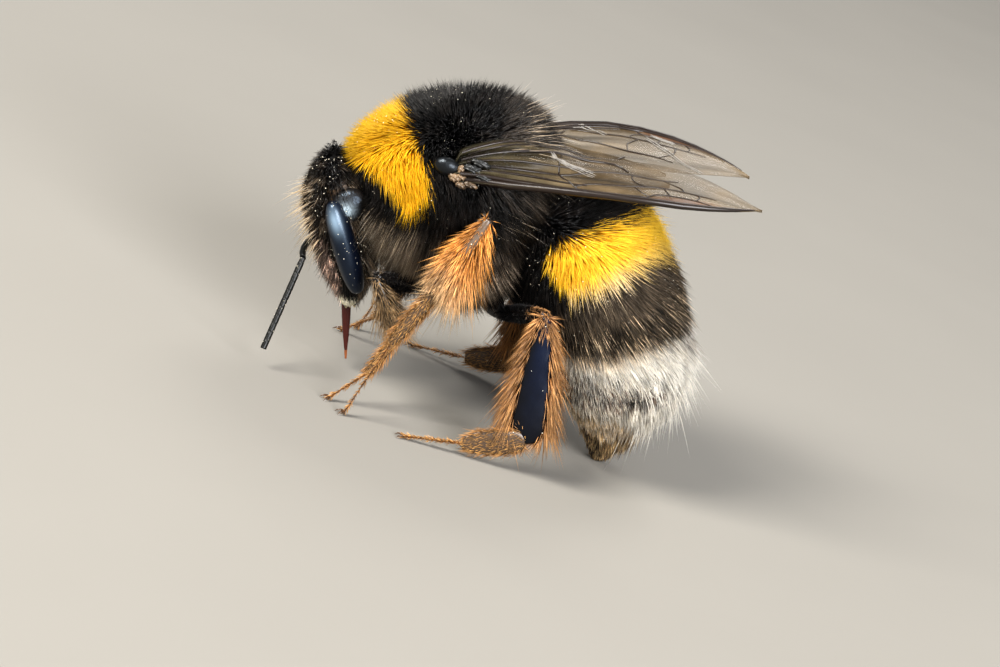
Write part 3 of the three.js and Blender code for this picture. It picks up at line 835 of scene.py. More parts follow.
FIRST_SEGMENT_COATS = (("abdomen_1", "coat_black", -1, 0.45), ("abdomen_1_rim", "coat_yellow", 0.45, 1))
for seed, (name, slot, first, last) in enumerate(FIRST_SEGMENT_COATS, 10):
    trunk_coat("coat_" + name, slot, abdomen, first, last, abdomen_depth, first_segment_look, (30, 120),
               seed=seed)

# %% Lay of the other segments
SPARSE_GAP, DARK_GAP = (3.74, 0.23), (3.72, 0.16)     # station and width of the gap behind the fourth segment


def gap_share(station, middle, width):
    """1 in the middle of the gap between the white segments, 0 away from it."""
    return np.exp(-((station - middle) / width) ** 2)


def abdomen_lay(station, angle, gap):
    rising = -0.3 * between(station, (1, 0), (2.2, 0.8), (3, 1), (5, 0.4)) \
        * between(angle, (0, 0), (45, 1), (120, 1), (180, 0))
    return {
        # Painted shade: the hair's colours darken towards the top line of the abdomen.
        "shade": np.where(station < 2, between(angle, (0, 0.7), (30, 0.78), (60, 1)),
                          between(angle, (0, 0.82), (50, 0.9), (70, 1))),
        "lift": between(station, (1, 0.36), (2, 0.3), (3, 0.3), (4.2, 0.4), (4.9, 0.42), (5.4, 0.25),
                        (6, 0.15)),
        "onward": 0.8,
        "down": rising + fan(angle) * between(station, (1, 1), (1.6, 0.6), (2.4, 0)),
        "curl": 0.1,
        "reach": between(station, (1, 1.25), (2.5, 1.2), (2.9, 0.95), (3.1, 0.75), (3.3, 0.5), (3.6, 0.4),
                         (3.85, 0.62), (4.6, 0.7), (5.0, 0.7), (5.5, 0.5), (6, 0.3))
        * between(angle, (110, 1), (160, 0.6))
        * np.where(station > 2.7, between(angle, (30, 1.4), (60, 1)), 1),
        "girth": between(station, (4.3, 0.034), (5, 0.046)),
        "density": between(station, (1, 400), (4.5, 380), (5.2, 240), (6, 220))
        * between(angle, (100, 1), (150, 0.3)) * (1 - 0.93 * gap),
    }

# %% Markings of the other segments
BAND_EDGE = 0.12      # how far luck moves the edge of a band


def mixed(share):
    """A band value that gives about this share of the hairs the band's colours."""
    return BAND_EDGE * (2 * share - 1)


def yellow_segment(station, angle):
    yellow_front = between(angle, (0, 1.05), (30, 0.95), (60, 0.7), (90, 0.5), (102, 0.6), (107, 2))
    yellow_end = between(angle, (0, 1.75), (30, 1.58), (60, 1.44), (75, 1.42), (90, 1.34), (104, 1.2),
                         (108, 0))
    fading = np.clip(0.9 - (yellow_end - station) / 0.35, 0, 1) * between(angle, (40, 0.4), (70, 1))
    return dict(band=np.minimum(station - yellow_front, yellow_end - station),
                band_hair=("lemon", "cream", fading),
                hair=("black", "grey brown", between(station, (1, 0), (2, 0.5))))


DARK_SEGMENT = dict(band=mixed(0.46), band_hair=("grey brown", "cream", 0.2),
                    hair=("black", "grey brown", 0.15))
TAIL_SEGMENT = dict(band=mixed(0.75), band_hair="tail", hair="dark brown")


def white_rim(station, angle):
    start = between(angle, (0, 2.85), (30, 2.68), (60, 2.5), (90, 2.5), (110, 2.66))
    gold = np.clip(1 - (station - start) / 0.24, 0, 1) * between(angle, (50, 0.15), (75, 0.6), (95, 0.7))
    return dict(band=station - start, band_hair=("white", "gold", gold), hair=("black", "grey brown", 0.55))


def white_segment(station, angle, gap):
    low = between(angle, (65, 0), (100, 0.7))
    narrow_gap = gap_share(station, *DARK_GAP) \
        * between(angle, (50, 0), (70, 1), (85, 0.9), (96, 0.3), (125, 0.2))
    dusky = np.clip(low + narrow_gap + between(station, (3.5, 0), (3.8, 0.3), (4.4, 0.1)), 0, 1)
    if station.mean() < 4:
        dark = between(angle, (30, 0.06), (60, 0.12), (85, 0.26), (105, 0.36)) + 0.8 * gap
        marks = dict(band=mixed(dark), band_hair="dark brown")
    else:
        tail_start = between(angle, (0, 4.8), (50, 4.65), (72, 4.5), (88, 4.34), (102, 4.16))
        marks = dict(band=station - tail_start, band_hair="tail")
    return dict(marks, hair=("white", "dusky white", dusky))


def abdomen_look(station, angle):
    gap = gap_share(station, *SPARSE_GAP) \
        * between(angle, (40, 0.2), (65, 0.85), (82, 0.95), (96, 0.4), (130, 0.1))
    middle = station.mean()
    if middle < 2:
        marks = yellow_segment(station, angle)
    elif middle < 2.5:
        marks = DARK_SEGMENT
    elif middle < 3:
        marks = white_rim(station, angle)
    elif middle < 5:
        marks = white_segment(station, angle, gap)
    else:
        marks = TAIL_SEGMENT
    return dict(abdomen_lay(station, angle, gap), **marks)

# %% Coats of the other segments
SLEEK = dict(clump=0.42, clump_size=0.00028)
MATTED = dict(clump=0.6, clump_size=0.0004, vary=0.5, locks=0.75)
ABDOMEN_COATS = (
    ("abdomen_2", "coat_yellow", 1, 2, SLEEK), ("abdomen_3", "coat_black", 2, 2.5, SLEEK),
    ("abdomen_3_rim", "coat_white", 2.5, 3, MATTED), ("abdomen_4", "coat_white", 3, 4, MATTED),
    ("abdomen_5", "coat_white", 4, 4.8, MATTED), ("abdomen_6", "coat_rust", 4.8, 6.8, MATTED))
for seed, (name, slot, first, last, habit) in enumerate(ABDOMEN_COATS, 12):
    trunk_coat("coat_" + name, slot, abdomen, first, last, abdomen_depth, abdomen_look, (26, 120), seed=seed,
               **habit)

# %% [markdown]
# The head's hair is short and upright on the crown, greyer down the face and on the cheeks, and pinkish
# brown round the mouth, where it is dusted with pollen. Nothing grows on the eyes and on the plates behind
# them: there two ovals of station and angle take the density away.

# %% Head coat
EYE_OVAL, PLATE_OVAL = ((3.95, 0), (2.1, 25)), ((2.0, 108), (0.4, 11))     # middle and half size


def oval_share(x, y, centre, half):
    """Squared distance from the middle of an oval, 1 on its rim."""
    return ((x - centre[0]) / half[0]) ** 2 + ((y - centre[1]) / half[1]) ** 2


def head_look(station, angle):
    eye_angle = between(station, (2.3, 82), (3.9, 93), (5.7, 108))
    bald = np.clip(1.5 - oval_share(station, angle - eye_angle, *EYE_OVAL), 0, 1)
    bald = np.maximum(bald, np.clip(1.4 - oval_share(station, angle, *PLATE_OVAL), 0, 1))
    lips = np.clip((station - 3.2) / 1.0, 0, 1) * between(angle, (25, 1), (65, 0))
    cheek = between(angle, (95, 0), (125, 1))
    grey = between(station, (0.9, 0), (2.2, 1)) * (0.7 * cheek + between(angle, (0, 0.6), (45, 0.4), (70, 0)))
    return {
        "lift": between(angle, (0, 0.6), (60, 0.5), (110, 0.3), (180, 0.7)) + 0.2 * lips
        + 0.1 * between(station, (0, 1), (2, 0)),
        "onward": between(station, (-1, -0.4), (-0.2, 0.15), (1, 0.35), (2.5, 0.6), (7, 0.7)) + 0.3 * cheek,
        "down": between(angle, (0, 0), (60, 0.1), (110, 0.12), (180, 0)),
        "curl": 0.15,
        "reach": between(station, (-1, 0.35), (0.5, 0.42), (1.4, 0.55), (2.2, 0.8), (4, 0.62), (7, 0.4))
        * between(angle, (0, 0.85), (60, 0.8), (110, 1.15), (150, 1.3), (180, 1)) * (1 + 0.5 * lips),
        "girth": between(angle, (0, 0.028), (90, 0.03), (180, 0.034)),
        "density": 360 * (1 - bald) * between(station, (6.2, 1), (7, 0.3)),
        "band": lips - 0.14,
        "band_hair": "pink brown",
        "hair": ("black", "grey brown", grey),
    }


trunk_coat("coat_head", "coat_black", head, -0.8, 7.2, head_depth, head_look, (70, 110), seed=31, clump=0.22)

# %% [markdown]
# A few long thin pale hairs stand off behind the thorax, on the rear slope, under the chest, and on the
# cheeks and the face, and catch the light along the outline. They are small coats of their own, so that
# the dense coats can stay short and smooth.

# %% Wisps
WISPS = [   # name, trunk, depth, stations, angles, hair
            # reach, density, lift, onward, down, seed
    ("back", thorax, thorax_depth, (5.0, 7.0), (0, 48), ("grey brown", "blond", 0.4),
     2.0, 10, 0.85, 0.35, 0.1, 41),
    ("side", thorax, thorax_depth, (4.8, 5.8), (82, 92), ("black", "blond", 0.5),
     1.7, 7, 0.5, 0.8, 0.1, 42),
    ("rear", abdomen, abdomen_depth, (2.9, 4.8), (0, 75), "white",
     1.6, 17, 0.55, 0.75, 0.1, 43),
    ("chest", thorax, thorax_depth, (0.0, 3.6), (101, 140), ("ash brown", "blond", 0.6),
     1.5, 150, 0.55, -0.1, 0.55, 45),
    ("cheek", head, head_depth, (1.5, 5.0), (118, 150), ("grey brown", "blond", 0.3),
     0.75, 80, 0.4, 0.6, 0.3, 46),
    ("face", head, head_depth, (2.0, 4.0), (0, 40), "blond",
     1.3, 45, 0.8, 0.2, 0.1, 44),
]


def wisp_look(angles, hair, reach, density, lift, onward, down):
    """The plan of a patch of wisps between two angles."""
    def look(station, angle):
        inside = np.clip((angle - angles[0]) / 6 + 1, 0, 1) * np.clip((angles[1] - angle) / 6 + 1, 0, 1)
        return {"lift": lift, "onward": onward, "down": down, "curl": 0.25, "reach": reach, "girth": 0.024,
                "density": density * inside, "hair": hair}
    return look


for name, trunk, depth, stations, *plan, seed in WISPS:
    trunk_coat("wisps_" + name, "coat_white", trunk, *stations, depth, wisp_look(*plan), (20, 120), seed=seed,
               clump=0.6, vary=0.5)

# %% [markdown]
# The skin is one closed mesh under the whole coat. The three lofts are closed tubes, with a neck and a
# waist between them. A voxel remesh melts them into one surface, and smoothing rounds the joins. Every
# point takes its colour from the nearest root on the scalps, so that skin and coat carry the same markings.

# %% Closed parts
def closed_tube(grid):
    """Points and faces of a tube over a grid whose last column repeats the first, with both ends closed."""
    ring = grid[:, :-1]
    rows, columns = ring.shape[:2]
    faces = grid_faces(rows, columns, closed=True).tolist()
    faces += [list(range(columns))[::-1], list(range((rows - 1) * columns, rows * columns))]
    return ring.reshape(-1, 3), faces


def unit_ball(rows, columns, blunt=1.0):
    """A grid over a ball. Below 1, blunt fills out its ends."""
    rise, turn = np.meshgrid(np.linspace(0.01, np.pi - 0.01, rows), np.linspace(-np.pi, np.pi, columns),
                             indexing="ij")
    girth = np.sin(rise) ** blunt
    return np.stack([girth * np.cos(turn), girth * np.sin(turn), np.cos(rise)], -1)


def ball_grid(centre, half, rows=13, columns=25):
    """A grid over an ellipsoid."""
    return np.array(centre) + unit_ball(rows, columns) * np.array(half)


def mesh_from_grids(name, grids, place=to_frame):
    """One mesh of closed tubes, its faces turned outwards."""
    points, faces, start = [], [], 0
    for tube_points, tube_faces in map(closed_tube, grids):
        points.append(tube_points)
        faces += [[start + i for i in face] for face in tube_faces]
        start += len(tube_points)
    mesh = bpy.data.meshes.new(name)
    mesh.from_pydata(place(np.concatenate(points)), [], faces)
    shape = bmesh.new()
    shape.from_mesh(mesh)
    bmesh.ops.recalc_face_normals(shape, faces=shape.faces)
    shape.to_mesh(mesh)
    shape.free()
    mesh.shade_smooth()
    return mesh

# %% One skin
VOXEL = 0.12          # the skin is melted at the bee's millimetres, and moved into the frame afterwards
SKIN_FLOOR = 0.00002
NECK, WAIST = ((-7.6, 0, 6.9), (1.7, 1.1, 1.0)), ((-1.25, 0, 7.4), (1.0, 1.5, 1.6))


def melted_skin():
    """The lofts, the neck and the waist as one smooth closed mesh, in bee millimetres."""
    grids = [trunk.grid(-0.98, trunk.last + 0.98, 80, 73, depth)[2]
             for trunk, depth in ((head, head_depth), (thorax, thorax_depth), (abdomen, abdomen_depth))]
    mesh = mesh_from_grids("skin_parts", [*grids, ball_grid(*NECK), ball_grid(*WAIST)], np.array)
    bare = put_in_scene("skin_parts", mesh)
    remesh = bare.modifiers.new("melt", "REMESH")
    remesh.mode, remesh.voxel_size = "VOXEL", VOXEL
    smooth = bare.modifiers.new("smooth", "SMOOTH")
    smooth.factor, smooth.iterations = 0.5, 6
    made = bpy.data.meshes.new_from_object(bare.evaluated_get(bpy.context.evaluated_depsgraph_get()))
    bpy.data.objects.remove(bare)
    return made


def nearest_tints(points):
    """For each point, the root colour of the nearest place on any scalp."""
    sources, tints = (np.concatenate(rows) for rows in zip(*scalps))
    tree = kdtree.KDTree(len(sources))
    for i, place in enumerate(sources):
        tree.insert(place, i)
    tree.balance()
    return tints[[tree.find(place)[1] for place in points]]


def make_skin():
    mesh = melted_skin()
    points = np.zeros(len(mesh.vertices) * 3)
    mesh.vertices.foreach_get("co", points)
    points = points.reshape(-1, 3)
    placed = to_frame(points)
    placed[:, 2] = np.maximum(placed[:, 2], SKIN_FLOOR)
    mesh.vertices.foreach_set("co", placed.ravel())
    mesh.update()
    mesh.shade_smooth()
    add_plan(mesh, "root_tint", nearest_tints(points), TINT)
    return put_in_scene("skin", mesh)

# %% Finish of the skin
def make_skin_material():
    """Dark cuticle, dotted where hairs stand, in the coat's own tints."""
    material, tree, shader = new_material("cuticle_skin", Roughness=0.38, Specular_IOR_Level=0.5)
    pits = pits_at(tree, own_place(tree), 9000)
    shade = spread_range(tree, pits, 0.0, 0.7, 0.45, 1.0)
    wire(tree, shader, Base_Color=scaled(tree, own_value(tree, "root_tint"), shade),
         Normal=bump_normal(tree, pits, 0.00002, 0.6))
    return material


skin = make_skin()
skin.data.materials.append(make_skin_material())
hand_over(skin, "coat_black", ["head", "pronotum", "mesothorax", "scutellum",
                               *[f"abdomen_segment_{i}" for i in range(1, 7)]])
print("coat so far:", sum(coat_sizes), "triangles")

# %% [markdown]
# Shell is the bare cuticle of eyes, feelers, jaws and legs: hard, dark and polished, with fine pits. One
# shader group gives every shell its pits, its slow change of tone and the height for its bump, and each
# finish sets its own numbers. The compound eye's facets are pits of a finer scale. A piece whose colour
# changes over it carries the change as an attribute, shell_tint.

# %% Shell
def build_shell_group():
    inputs = [("Tint", COLOUR, (0.02, 0.015, 0.012, 1)), ("Pit scale", FLOAT, 9000.0), ("Mottle", FLOAT, 0.4),
              ("Gloss", FLOAT, 0.22)]
    outputs = [("Colour", COLOUR), ("Roughness", FLOAT), ("Height", FLOAT)]
    tree, given, result = new_group("shell_surface", "ShaderNodeTree", inputs, outputs)
    place = own_place(tree)
    cloud = noise_at(tree, place, 1500, 4)["Fac"]
    light = maths(tree, "MULTIPLY_ADD", maths(tree, "SUBTRACT", cloud, 0.5), given["Mottle"], 1.0)
    rough = maths(tree, "MULTIPLY_ADD", cloud, 0.2, maths(tree, "SUBTRACT", given["Gloss"], 0.1))
    wire(tree, result, Colour=scaled(tree, given["Tint"], light), Roughness=rough,
         Height=pits_at(tree, place, given["Pit scale"]))
    return tree


shell_group = build_shell_group()


def make_shell_material(name, tint=None, pit_scale=9000.0, gloss=0.22, bump=0.4, depth=0.00001, mottle=0.4,
                        **more):
    """A shell finish. Without a tint it reads the piece's own shell_tint."""
    material, tree, shader = new_material(name, **more)
    group = add_node(tree, "ShaderNodeGroup", node_tree=shell_group)
    for socket, value in (("Pit scale", pit_scale), ("Mottle", mottle), ("Gloss", gloss)):
        group.inputs[socket].default_value = value
    if tint:
        group.inputs["Tint"].default_value = (*tint, 1)
    else:
        wire(tree, group, Tint=own_value(tree, "shell_tint"))
    wire(tree, shader, Base_Color=group.outputs["Colour"], Roughness=group.outputs["Roughness"],
         Normal=bump_normal(tree, group.outputs["Height"], depth, bump))
    return material

# %% Shell finishes
SKY_SHEEN = (0.62, 0.8, 1, 1)     # what a black shell shows of the sky
shell = make_shell_material("shell")
eye_shell = make_shell_material("eye_shell", pit_scale=26000.0, gloss=0.34, bump=0.3, depth=0.000006,
                                Specular_IOR_Level=0.5, Specular_Tint=SKY_SHEEN, Coat_Weight=0.15,
                                Coat_Roughness=0.12)
single_eye = make_shell_material("single_eye", (0.01, 0.008, 0.008), gloss=0.34, bump=0.1,
                                 Specular_IOR_Level=0.3)
basket_shell = make_shell_material("basket_shell", pit_scale=1600.0, gloss=0.24, bump=0.5, depth=0.00004,
                                   mottle=1.0, Specular_IOR_Level=0.25, Coat_Weight=0.15, Coat_Roughness=0.1)
cheek_shell = make_shell_material("cheek_shell", pit_scale=12000.0, gloss=0.34, bump=1.0, mottle=1.8,
                                  Specular_IOR_Level=0.4, Specular_Tint=SKY_SHEEN)
scale_shell = make_shell_material("scale_shell", (0.005, 0.005, 0.005), pit_scale=12000.0, gloss=0.36,
                                  bump=0.6, Specular_IOR_Level=0.4, Specular_Tint=(0.8, 0.9, 1, 1))
feeler_shell = make_shell_material("feeler_shell", (0.005, 0.005, 0.004), pit_scale=15000.0, gloss=0.36,
                                   bump=0.5, Specular_IOR_Level=0.3)
BLACK_SHELL, BROWN_SHELL, AMBER_SHELL = (0.012, 0.010, 0.009), (0.07, 0.035, 0.016), (0.3, 0.13, 0.04)
DUSTY_SHELL, FOOT_SHELL, SHIN_SHELL = (0.5, 0.42, 0.27), (0.075, 0.05, 0.034), (0.12, 0.085, 0.06)
LIP_SHELL, SHEATH_SHELL, TONGUE_SHELL = (0.03, 0.016, 0.01), (0.07, 0.012, 0.008), (0.28, 0.09, 0.03)


def add_piece(name, slot, grids, material, replaced=(), tints=()):
    """One piece of closed tubes, with one shell tint for each tube, or a grid of tints for it."""
    mesh = mesh_from_grids(name, grids)
    if tints:
        rows = [np.broadcast_to(tint, grid.shape)[:, :-1].reshape(-1, 3) for tint, grid in zip(tints, grids)]
        add_plan(mesh, "shell_tint", np.concatenate(rows), TINT)
    mesh.materials.append(material)
    piece = put_in_scene(name, mesh)
    hand_over(piece, slot, replaced)
    return piece

# %% [markdown]
# A compound eye is a long glassy dome that covers the side of the head. It is a ball stretched along the
# head, its lower end slanted inwards, on the axes of the head. It is almost black, with a painted reflection
# of the sky near its upper end: a soft pale spot in its colour. Three single eyes sit on the crown between
# the hairs.

# %% Eyes
EYE_PLACE = (3.47, -0.08, 1.6)
EYE_HALF = (1.88, 0.47, 0.56)     # along the head, front to back, sideways
EYE_SLANT, EYE_LEAN, EYE_BLUNT = math.radians(5), math.radians(10), 0.62
# The second colour is a painted reflection of the sky, laid near the upper end of each eye.
EYE_DARK, EYE_PAINTED_REFLECTION = np.array((0.0015, 0.003, 0.009)), np.array((0.2, 0.275, 0.345))
SINGLE_EYES, SINGLE_EYE_HALF = ((1.1, 1.12, 0), (1.28, 0.95, 0.6), (1.28, 0.95, -0.6)), (0.13, 0.11, 0.13)


def turned(a, b, angle):
    """A pair of coordinates turned by an angle."""
    return a * math.cos(angle) + b * math.sin(angle), b * math.cos(angle) - a * math.sin(angle)


def head_ball(place, half, rows=33, columns=49, slant=0.0, side=RIGHT, lean=0.0, blunt=1.0):
    """An ellipsoid on the head's axes, its lower end slanted towards the middle and leaning back."""
    ball = unit_ball(rows, columns, blunt) * np.array((half[1], half[2], half[0]))
    front, sideways, up = ball[..., 0], ball[..., 1] * side, ball[..., 2]
    sideways, up = turned(sideways, up, slant)
    front, up = turned(front, up, lean)
    down, ahead, out = place
    return in_head(down - up, ahead + front, side * (out + sideways))


def compound_eye(side, rows, columns):
    return head_ball(EYE_PLACE, EYE_HALF, rows, columns, EYE_SLANT, side, EYE_LEAN, EYE_BLUNT)


# A soft pale spot near the upper end of each eye's outer face is a painted reflection of the sky.
front, out, up = np.moveaxis(unit_ball(49, 65, EYE_BLUNT), -1, 0)
spot = np.exp(-((up - 0.68) / 0.24) ** 2 - ((front - 0.1) / 0.5) ** 2)
for word, side in SIDES.items():
    painted_reflection = (spot * np.clip(out * side, 0, 1))[..., None]
    add_piece(f"compound_eye_{word}", "eye", [compound_eye(side, 49, 65)], eye_shell, [f"eye_{word}"],
              [EYE_DARK + painted_reflection * EYE_PAINTED_REFLECTION])
single_eyes = [head_ball(place, SINGLE_EYE_HALF, 11, 17) for place in SINGLE_EYES]
add_piece("single_eyes", "eye", single_eyes, single_eye)

# %% [markdown]
# Feelers, jaws and legs are rows of limbs: tubes of oval section from one joint to the next, each with a
# profile of breadth and thickness. The breadth runs along a given direction, and angle 0 lies on that edge
# of the limb. A positive angle is the outer face.

# %% Limbs
def limb(start, end, profile, broad, side=RIGHT, rows=25, columns=25, bow=(0, 0, 0)):
    """Share of the length, angle and points over a limb. The profile's rows are share, half breadth and half
    thickness, read as a smooth curve."""
    start, end = np.asarray(start, float), np.asarray(end, float)
    onwards = unit(end - start)
    outer = unit(np.cross(onwards, broad))
    outer *= np.sign(outer[1] * side)
    edge = unit(np.asarray(broad, float) - onwards * np.dot(broad, onwards))
    share, breadth, thickness = smooth_row(profile, np.linspace(0, len(profile) - 1, rows)).T[..., None]
    station, angle = np.meshgrid(share[:, 0], np.linspace(-np.pi, np.pi, columns), indexing="ij")
    centre = start + share[..., None] * (end - start) + 4 * (share * (1 - share))[..., None] * np.asarray(bow)
    points = centre + (breadth * np.cos(angle))[..., None] * edge \
        + (thickness * np.sin(angle))[..., None] * outer
    return station, angle, points


def closed_ends(*rows):
    """A profile with its ends rounded off: rows are share, half breadth and half thickness."""
    first, last = rows[0], rows[-1]
    return [(first[0] - 0.03, 0.01, 0.01), (first[0] - 0.02, first[1] * 0.6, first[2] * 0.6), *rows,
            (last[0] + 0.02, last[1] * 0.6, last[2] * 0.6), (last[0] + 0.03, 0.01, 0.01)]


def sided(point, side):
    return np.array([point[0], point[1] * side, point[2]])

# %% [markdown]
# A feeler is a long scape in a socket of the face, a small elbow joint, and ten ringlets that the bee
# smells with. Every joint is a limb of its own, and a ringlet draws in at both ends, so that rings show.

# %% Feelers
ANTENNA_BASE = (-8.3, 0.45, 5.05)
ANTENNA_ELBOW = {LEFT: (-8.7, 1.95, 4.2), RIGHT: (-8.45, 1.85, 4.35)}
ANTENNA_TIP = {LEFT: (-8.95, 3.25, 0.75), RIGHT: (-7.4, 4.9, 2.6)}     # one reaches ahead, the other sideways
RINGLETS = 10     # joints of a feeler past its elbow joint
RINGLET = ((-0.03, 0.05), (-0.02, 0.8), (0.05, 0.95), (0.4, 1.0), (0.9, 1.0), (0.99, 0.9), (1.0, 0.05))
ELBOW_THICK, RINGLET_THICK = 0.1, 0.118      # half thickness
RINGLET_OVERLAP = 0.003
SCAPE = closed_ends((0.03, 0.08, 0.08), (0.12, 0.11, 0.11), (0.6, 0.12, 0.12), (0.96, 0.13, 0.13))
SOCKET = closed_ends((0.1, 0.18, 0.18), (0.8, 0.15, 0.15))
feeler_grids = []     # kept for the dust


def make_feeler(word, side):
    """A long scape in its socket, a small elbow joint, and the ringlets."""
    joints = ANTENNA_BASE, ANTENNA_ELBOW[side], ANTENNA_TIP[side]
    base, elbow, tip = (sided(point, side) for point in joints)
    ahead = (1, 0, 0)
    scape = limb(base, elbow, SCAPE, ahead, side, bow=(-0.25, 0, -0.1))[2]
    socket = limb(base + (0.1, 0, 0.02), base + (-0.12, 0.03 * side, -0.02), SOCKET, (0, 0, 1), side,
                  rows=9)[2]
    grids, lengths = [scape, socket], np.array([0.5, 1.3] + [1.0] * (RINGLETS - 1))
    ends = np.concatenate([[0], np.cumsum(lengths) / lengths.sum()])
    for first, last in zip(ends[:-1], ends[1:]):
        thick = ELBOW_THICK if first == 0 else RINGLET_THICK
        profile = [(share, thick * swell, thick * swell) for share, swell in RINGLET]
        start, end = (elbow + (tip - elbow) * share for share in (first, last + RINGLET_OVERLAP))
        grids.append(limb(start, end, profile, ahead, side, rows=13, columns=17)[2])
    feeler_grids.extend(grids)
    add_piece(f"feeler_{word}", "shell", grids, feeler_shell,
              [f"antenna_scape_{word}", f"antenna_flagellum_{word}"])


for word, side in SIDES.items():
    make_feeler(word, side)

# %% [markdown]
# The mouth is a bulging face shield and its lip, two spoon jaws with three dusty teeth each, and the amber
# tongue between the two dark red strands of its sheath. Shield and lip are balls, the rest are limbs.

# %% Mouth
JAW = closed_ends((0.03, 0.3, 0.2), (0.3, 0.24, 0.16), (0.7, 0.3, 0.13), (0.95, 0.26, 0.07))
TOOTH, TEETH = closed_ends((0.1, 0.09, 0.06), (0.8, 0.03, 0.03)), (-0.16, 0.0, 0.16)
TONGUE_ROOT, TONGUE_END = in_head(5.7, 0.14), np.array([-5.74, 0, 0.42])
TONGUE = (   # across, share of the length, half thickness, tint
    (-0.12, 0.86, 0.13, SHEATH_SHELL), (0.12, 0.86, 0.13, SHEATH_SHELL), (0.0, 1.0, 0.09, TONGUE_SHELL))


def jaw_limbs(side):
    """A jaw and its teeth."""
    yield limb(in_head(5.1, 0.05, 0.95 * side), in_head(6.15, 0.02, 0.35 * side), JAW, HEAD_FRONT, side)[2]
    for front in TEETH:
        yield limb(in_head(6.02, 0.02 + front, 0.42 * side), in_head(6.28, 0.03 + front, 0.26 * side), TOOTH,
                   HEAD_FRONT, side, rows=11, columns=13)[2]


def tongue_limb(across, length, thick):
    """One strand of the tongue. The strands draw together towards its end."""
    offset = np.array([0, across, 0])
    profile = closed_ends((0.02, thick * 1.4, thick), (0.5, thick * 1.2, thick),
                          (0.97, thick * 0.5, thick * 0.4))
    return limb(TONGUE_ROOT + offset, TONGUE_ROOT + offset * 0.6 + (TONGUE_END - TONGUE_ROOT) * length,
                profile, HEAD_FRONT)[2]


face = [head_ball((4.5, 0.3, 0), (0.95, 0.56, 0.95), 25, 33),
        head_ball((5.55, 0.1, 0), (0.3, 0.34, 0.5), 17, 25)]
add_piece("face_shield", "shell", face, shell, tints=[BLACK_SHELL, LIP_SHELL])
for word, side in SIDES.items():
    add_piece(f"jaw_{word}", "shell", list(jaw_limbs(side)), shell, [f"mandible_{word}"],
              [BLACK_SHELL, *[DUSTY_SHELL] * len(TEETH)])
add_piece("tongue", "tongue", [tongue_limb(*row[:3]) for row in TONGUE], shell, ["proboscis"],
          [row[3] for row in TONGUE])

# %% [markdown]
# Each leg is one chain of limbs from the hip to the claws: coxa, trochanter, thigh, shin, a broad first
# foot joint, four beads, and a pair of hooked claws. The shins tell a bumblebee's legs apart. The hind one
# is broad, flat and bare outside, with a fringe of long hair along both edges: the pollen basket.

# %% Legs
LEGS = {
    "fore": dict(
        joints=[(-4.9, 0.85, 5.15), (-4.2, 1.6, 4.65), (-5.95, 2.7, 4.7), (-4.4, 3.0, 2.95),
                (-4.95, 3.4, 1.35), (-6.05, 4.1, 0.12)], broad=(1, 0, 0.6), sole=(1, 0, 0.6),
        thigh=[(0.03, 0.2, 0.2), (0.3, 0.3, 0.26), (0.7, 0.26, 0.24), (0.97, 0.16, 0.16)],
        shin=[(0.03, 0.15, 0.15), (0.3, 0.22, 0.18), (0.7, 0.3, 0.2), (0.97, 0.24, 0.18)],
        foot=[(0.03, 0.12, 0.11), (0.3, 0.16, 0.13), (0.97, 0.15, 0.12)]),
    "middle": dict(
        joints=[(-2.95, 1.0, 4.95), (-2.6, 1.85, 4.95), (-2.95, 4.15, 8.65), (-3.8, 4.65, 5.65),
                (-4.7, 4.85, 3.15), (-5.4, 5.1, 0.12)], broad=(1, 0, -0.3), sole=(1, 0, -0.3),
        thigh=[(0.03, 0.2, 0.2), (0.3, 0.32, 0.26), (0.7, 0.28, 0.24), (0.97, 0.17, 0.17)],
        shin=[(0.03, 0.17, 0.16), (0.3, 0.3, 0.2), (0.75, 0.44, 0.22), (0.97, 0.34, 0.2)],
        foot=[(0.03, 0.14, 0.12), (0.3, 0.25, 0.14), (0.8, 0.24, 0.13), (0.97, 0.16, 0.12)]),
    "hind": dict(
        joints=[(-1.55, 0.95, 5.0), (-1.05, 1.8, 4.75), (0.3, 4.2, 6.0), (1.3, 4.7, 1.3), (-0.9, 5.0, 0.5),
                (-3.05, 5.35, 0.12)], broad=(1, 0, 0.2), sole=(0, 0, 1),
        thigh=[(0.03, 0.22, 0.22), (0.3, 0.36, 0.28), (0.7, 0.32, 0.26), (0.97, 0.2, 0.18)],
        shin=[(0.03, 0.2, 0.18), (0.15, 0.36, 0.2), (0.5, 0.62, 0.2), (0.82, 0.74, 0.2), (0.93, 0.66, 0.17),
              (0.99, 0.45, 0.12)],
        foot=[(0.03, 0.3, 0.14), (0.15, 0.48, 0.14), (0.7, 0.46, 0.12), (0.97, 0.26, 0.1)]),
}
FOOT_BEADS = 4
BEAD_ENDS = np.array([0, 0.21, 0.4, 0.58, 1.0])
BEAD, LAST_BEAD = (closed_ends(*rows) for rows in (
    ((0.05, 0.08, 0.08), (0.75, 0.15, 0.12), (0.97, 0.11, 0.1)),
    ((0.03, 0.08, 0.07), (0.6, 0.1, 0.09), (0.97, 0.12, 0.11))))
COXA = closed_ends((0.0, 0.4, 0.36), (0.5, 0.42, 0.36), (0.95, 0.26, 0.24))
TROCHANTER = closed_ends((0.03, 0.2, 0.2), (0.9, 0.24, 0.22))
CLAW = closed_ends((0.05, 0.05, 0.05), (0.5, 0.035, 0.035), (0.97, 0.012, 0.012))


def claw(base, ahead, side_way):
    """A hooked claw as a limb with a bow."""
    end = base + ahead * 0.3 + side_way * 0.12 - np.array([0, 0, base[2] - 0.03])
    return limb(base, end, CLAW, (0, 0, 1), rows=13, columns=9, bow=(0, 0, 0.07))[2]


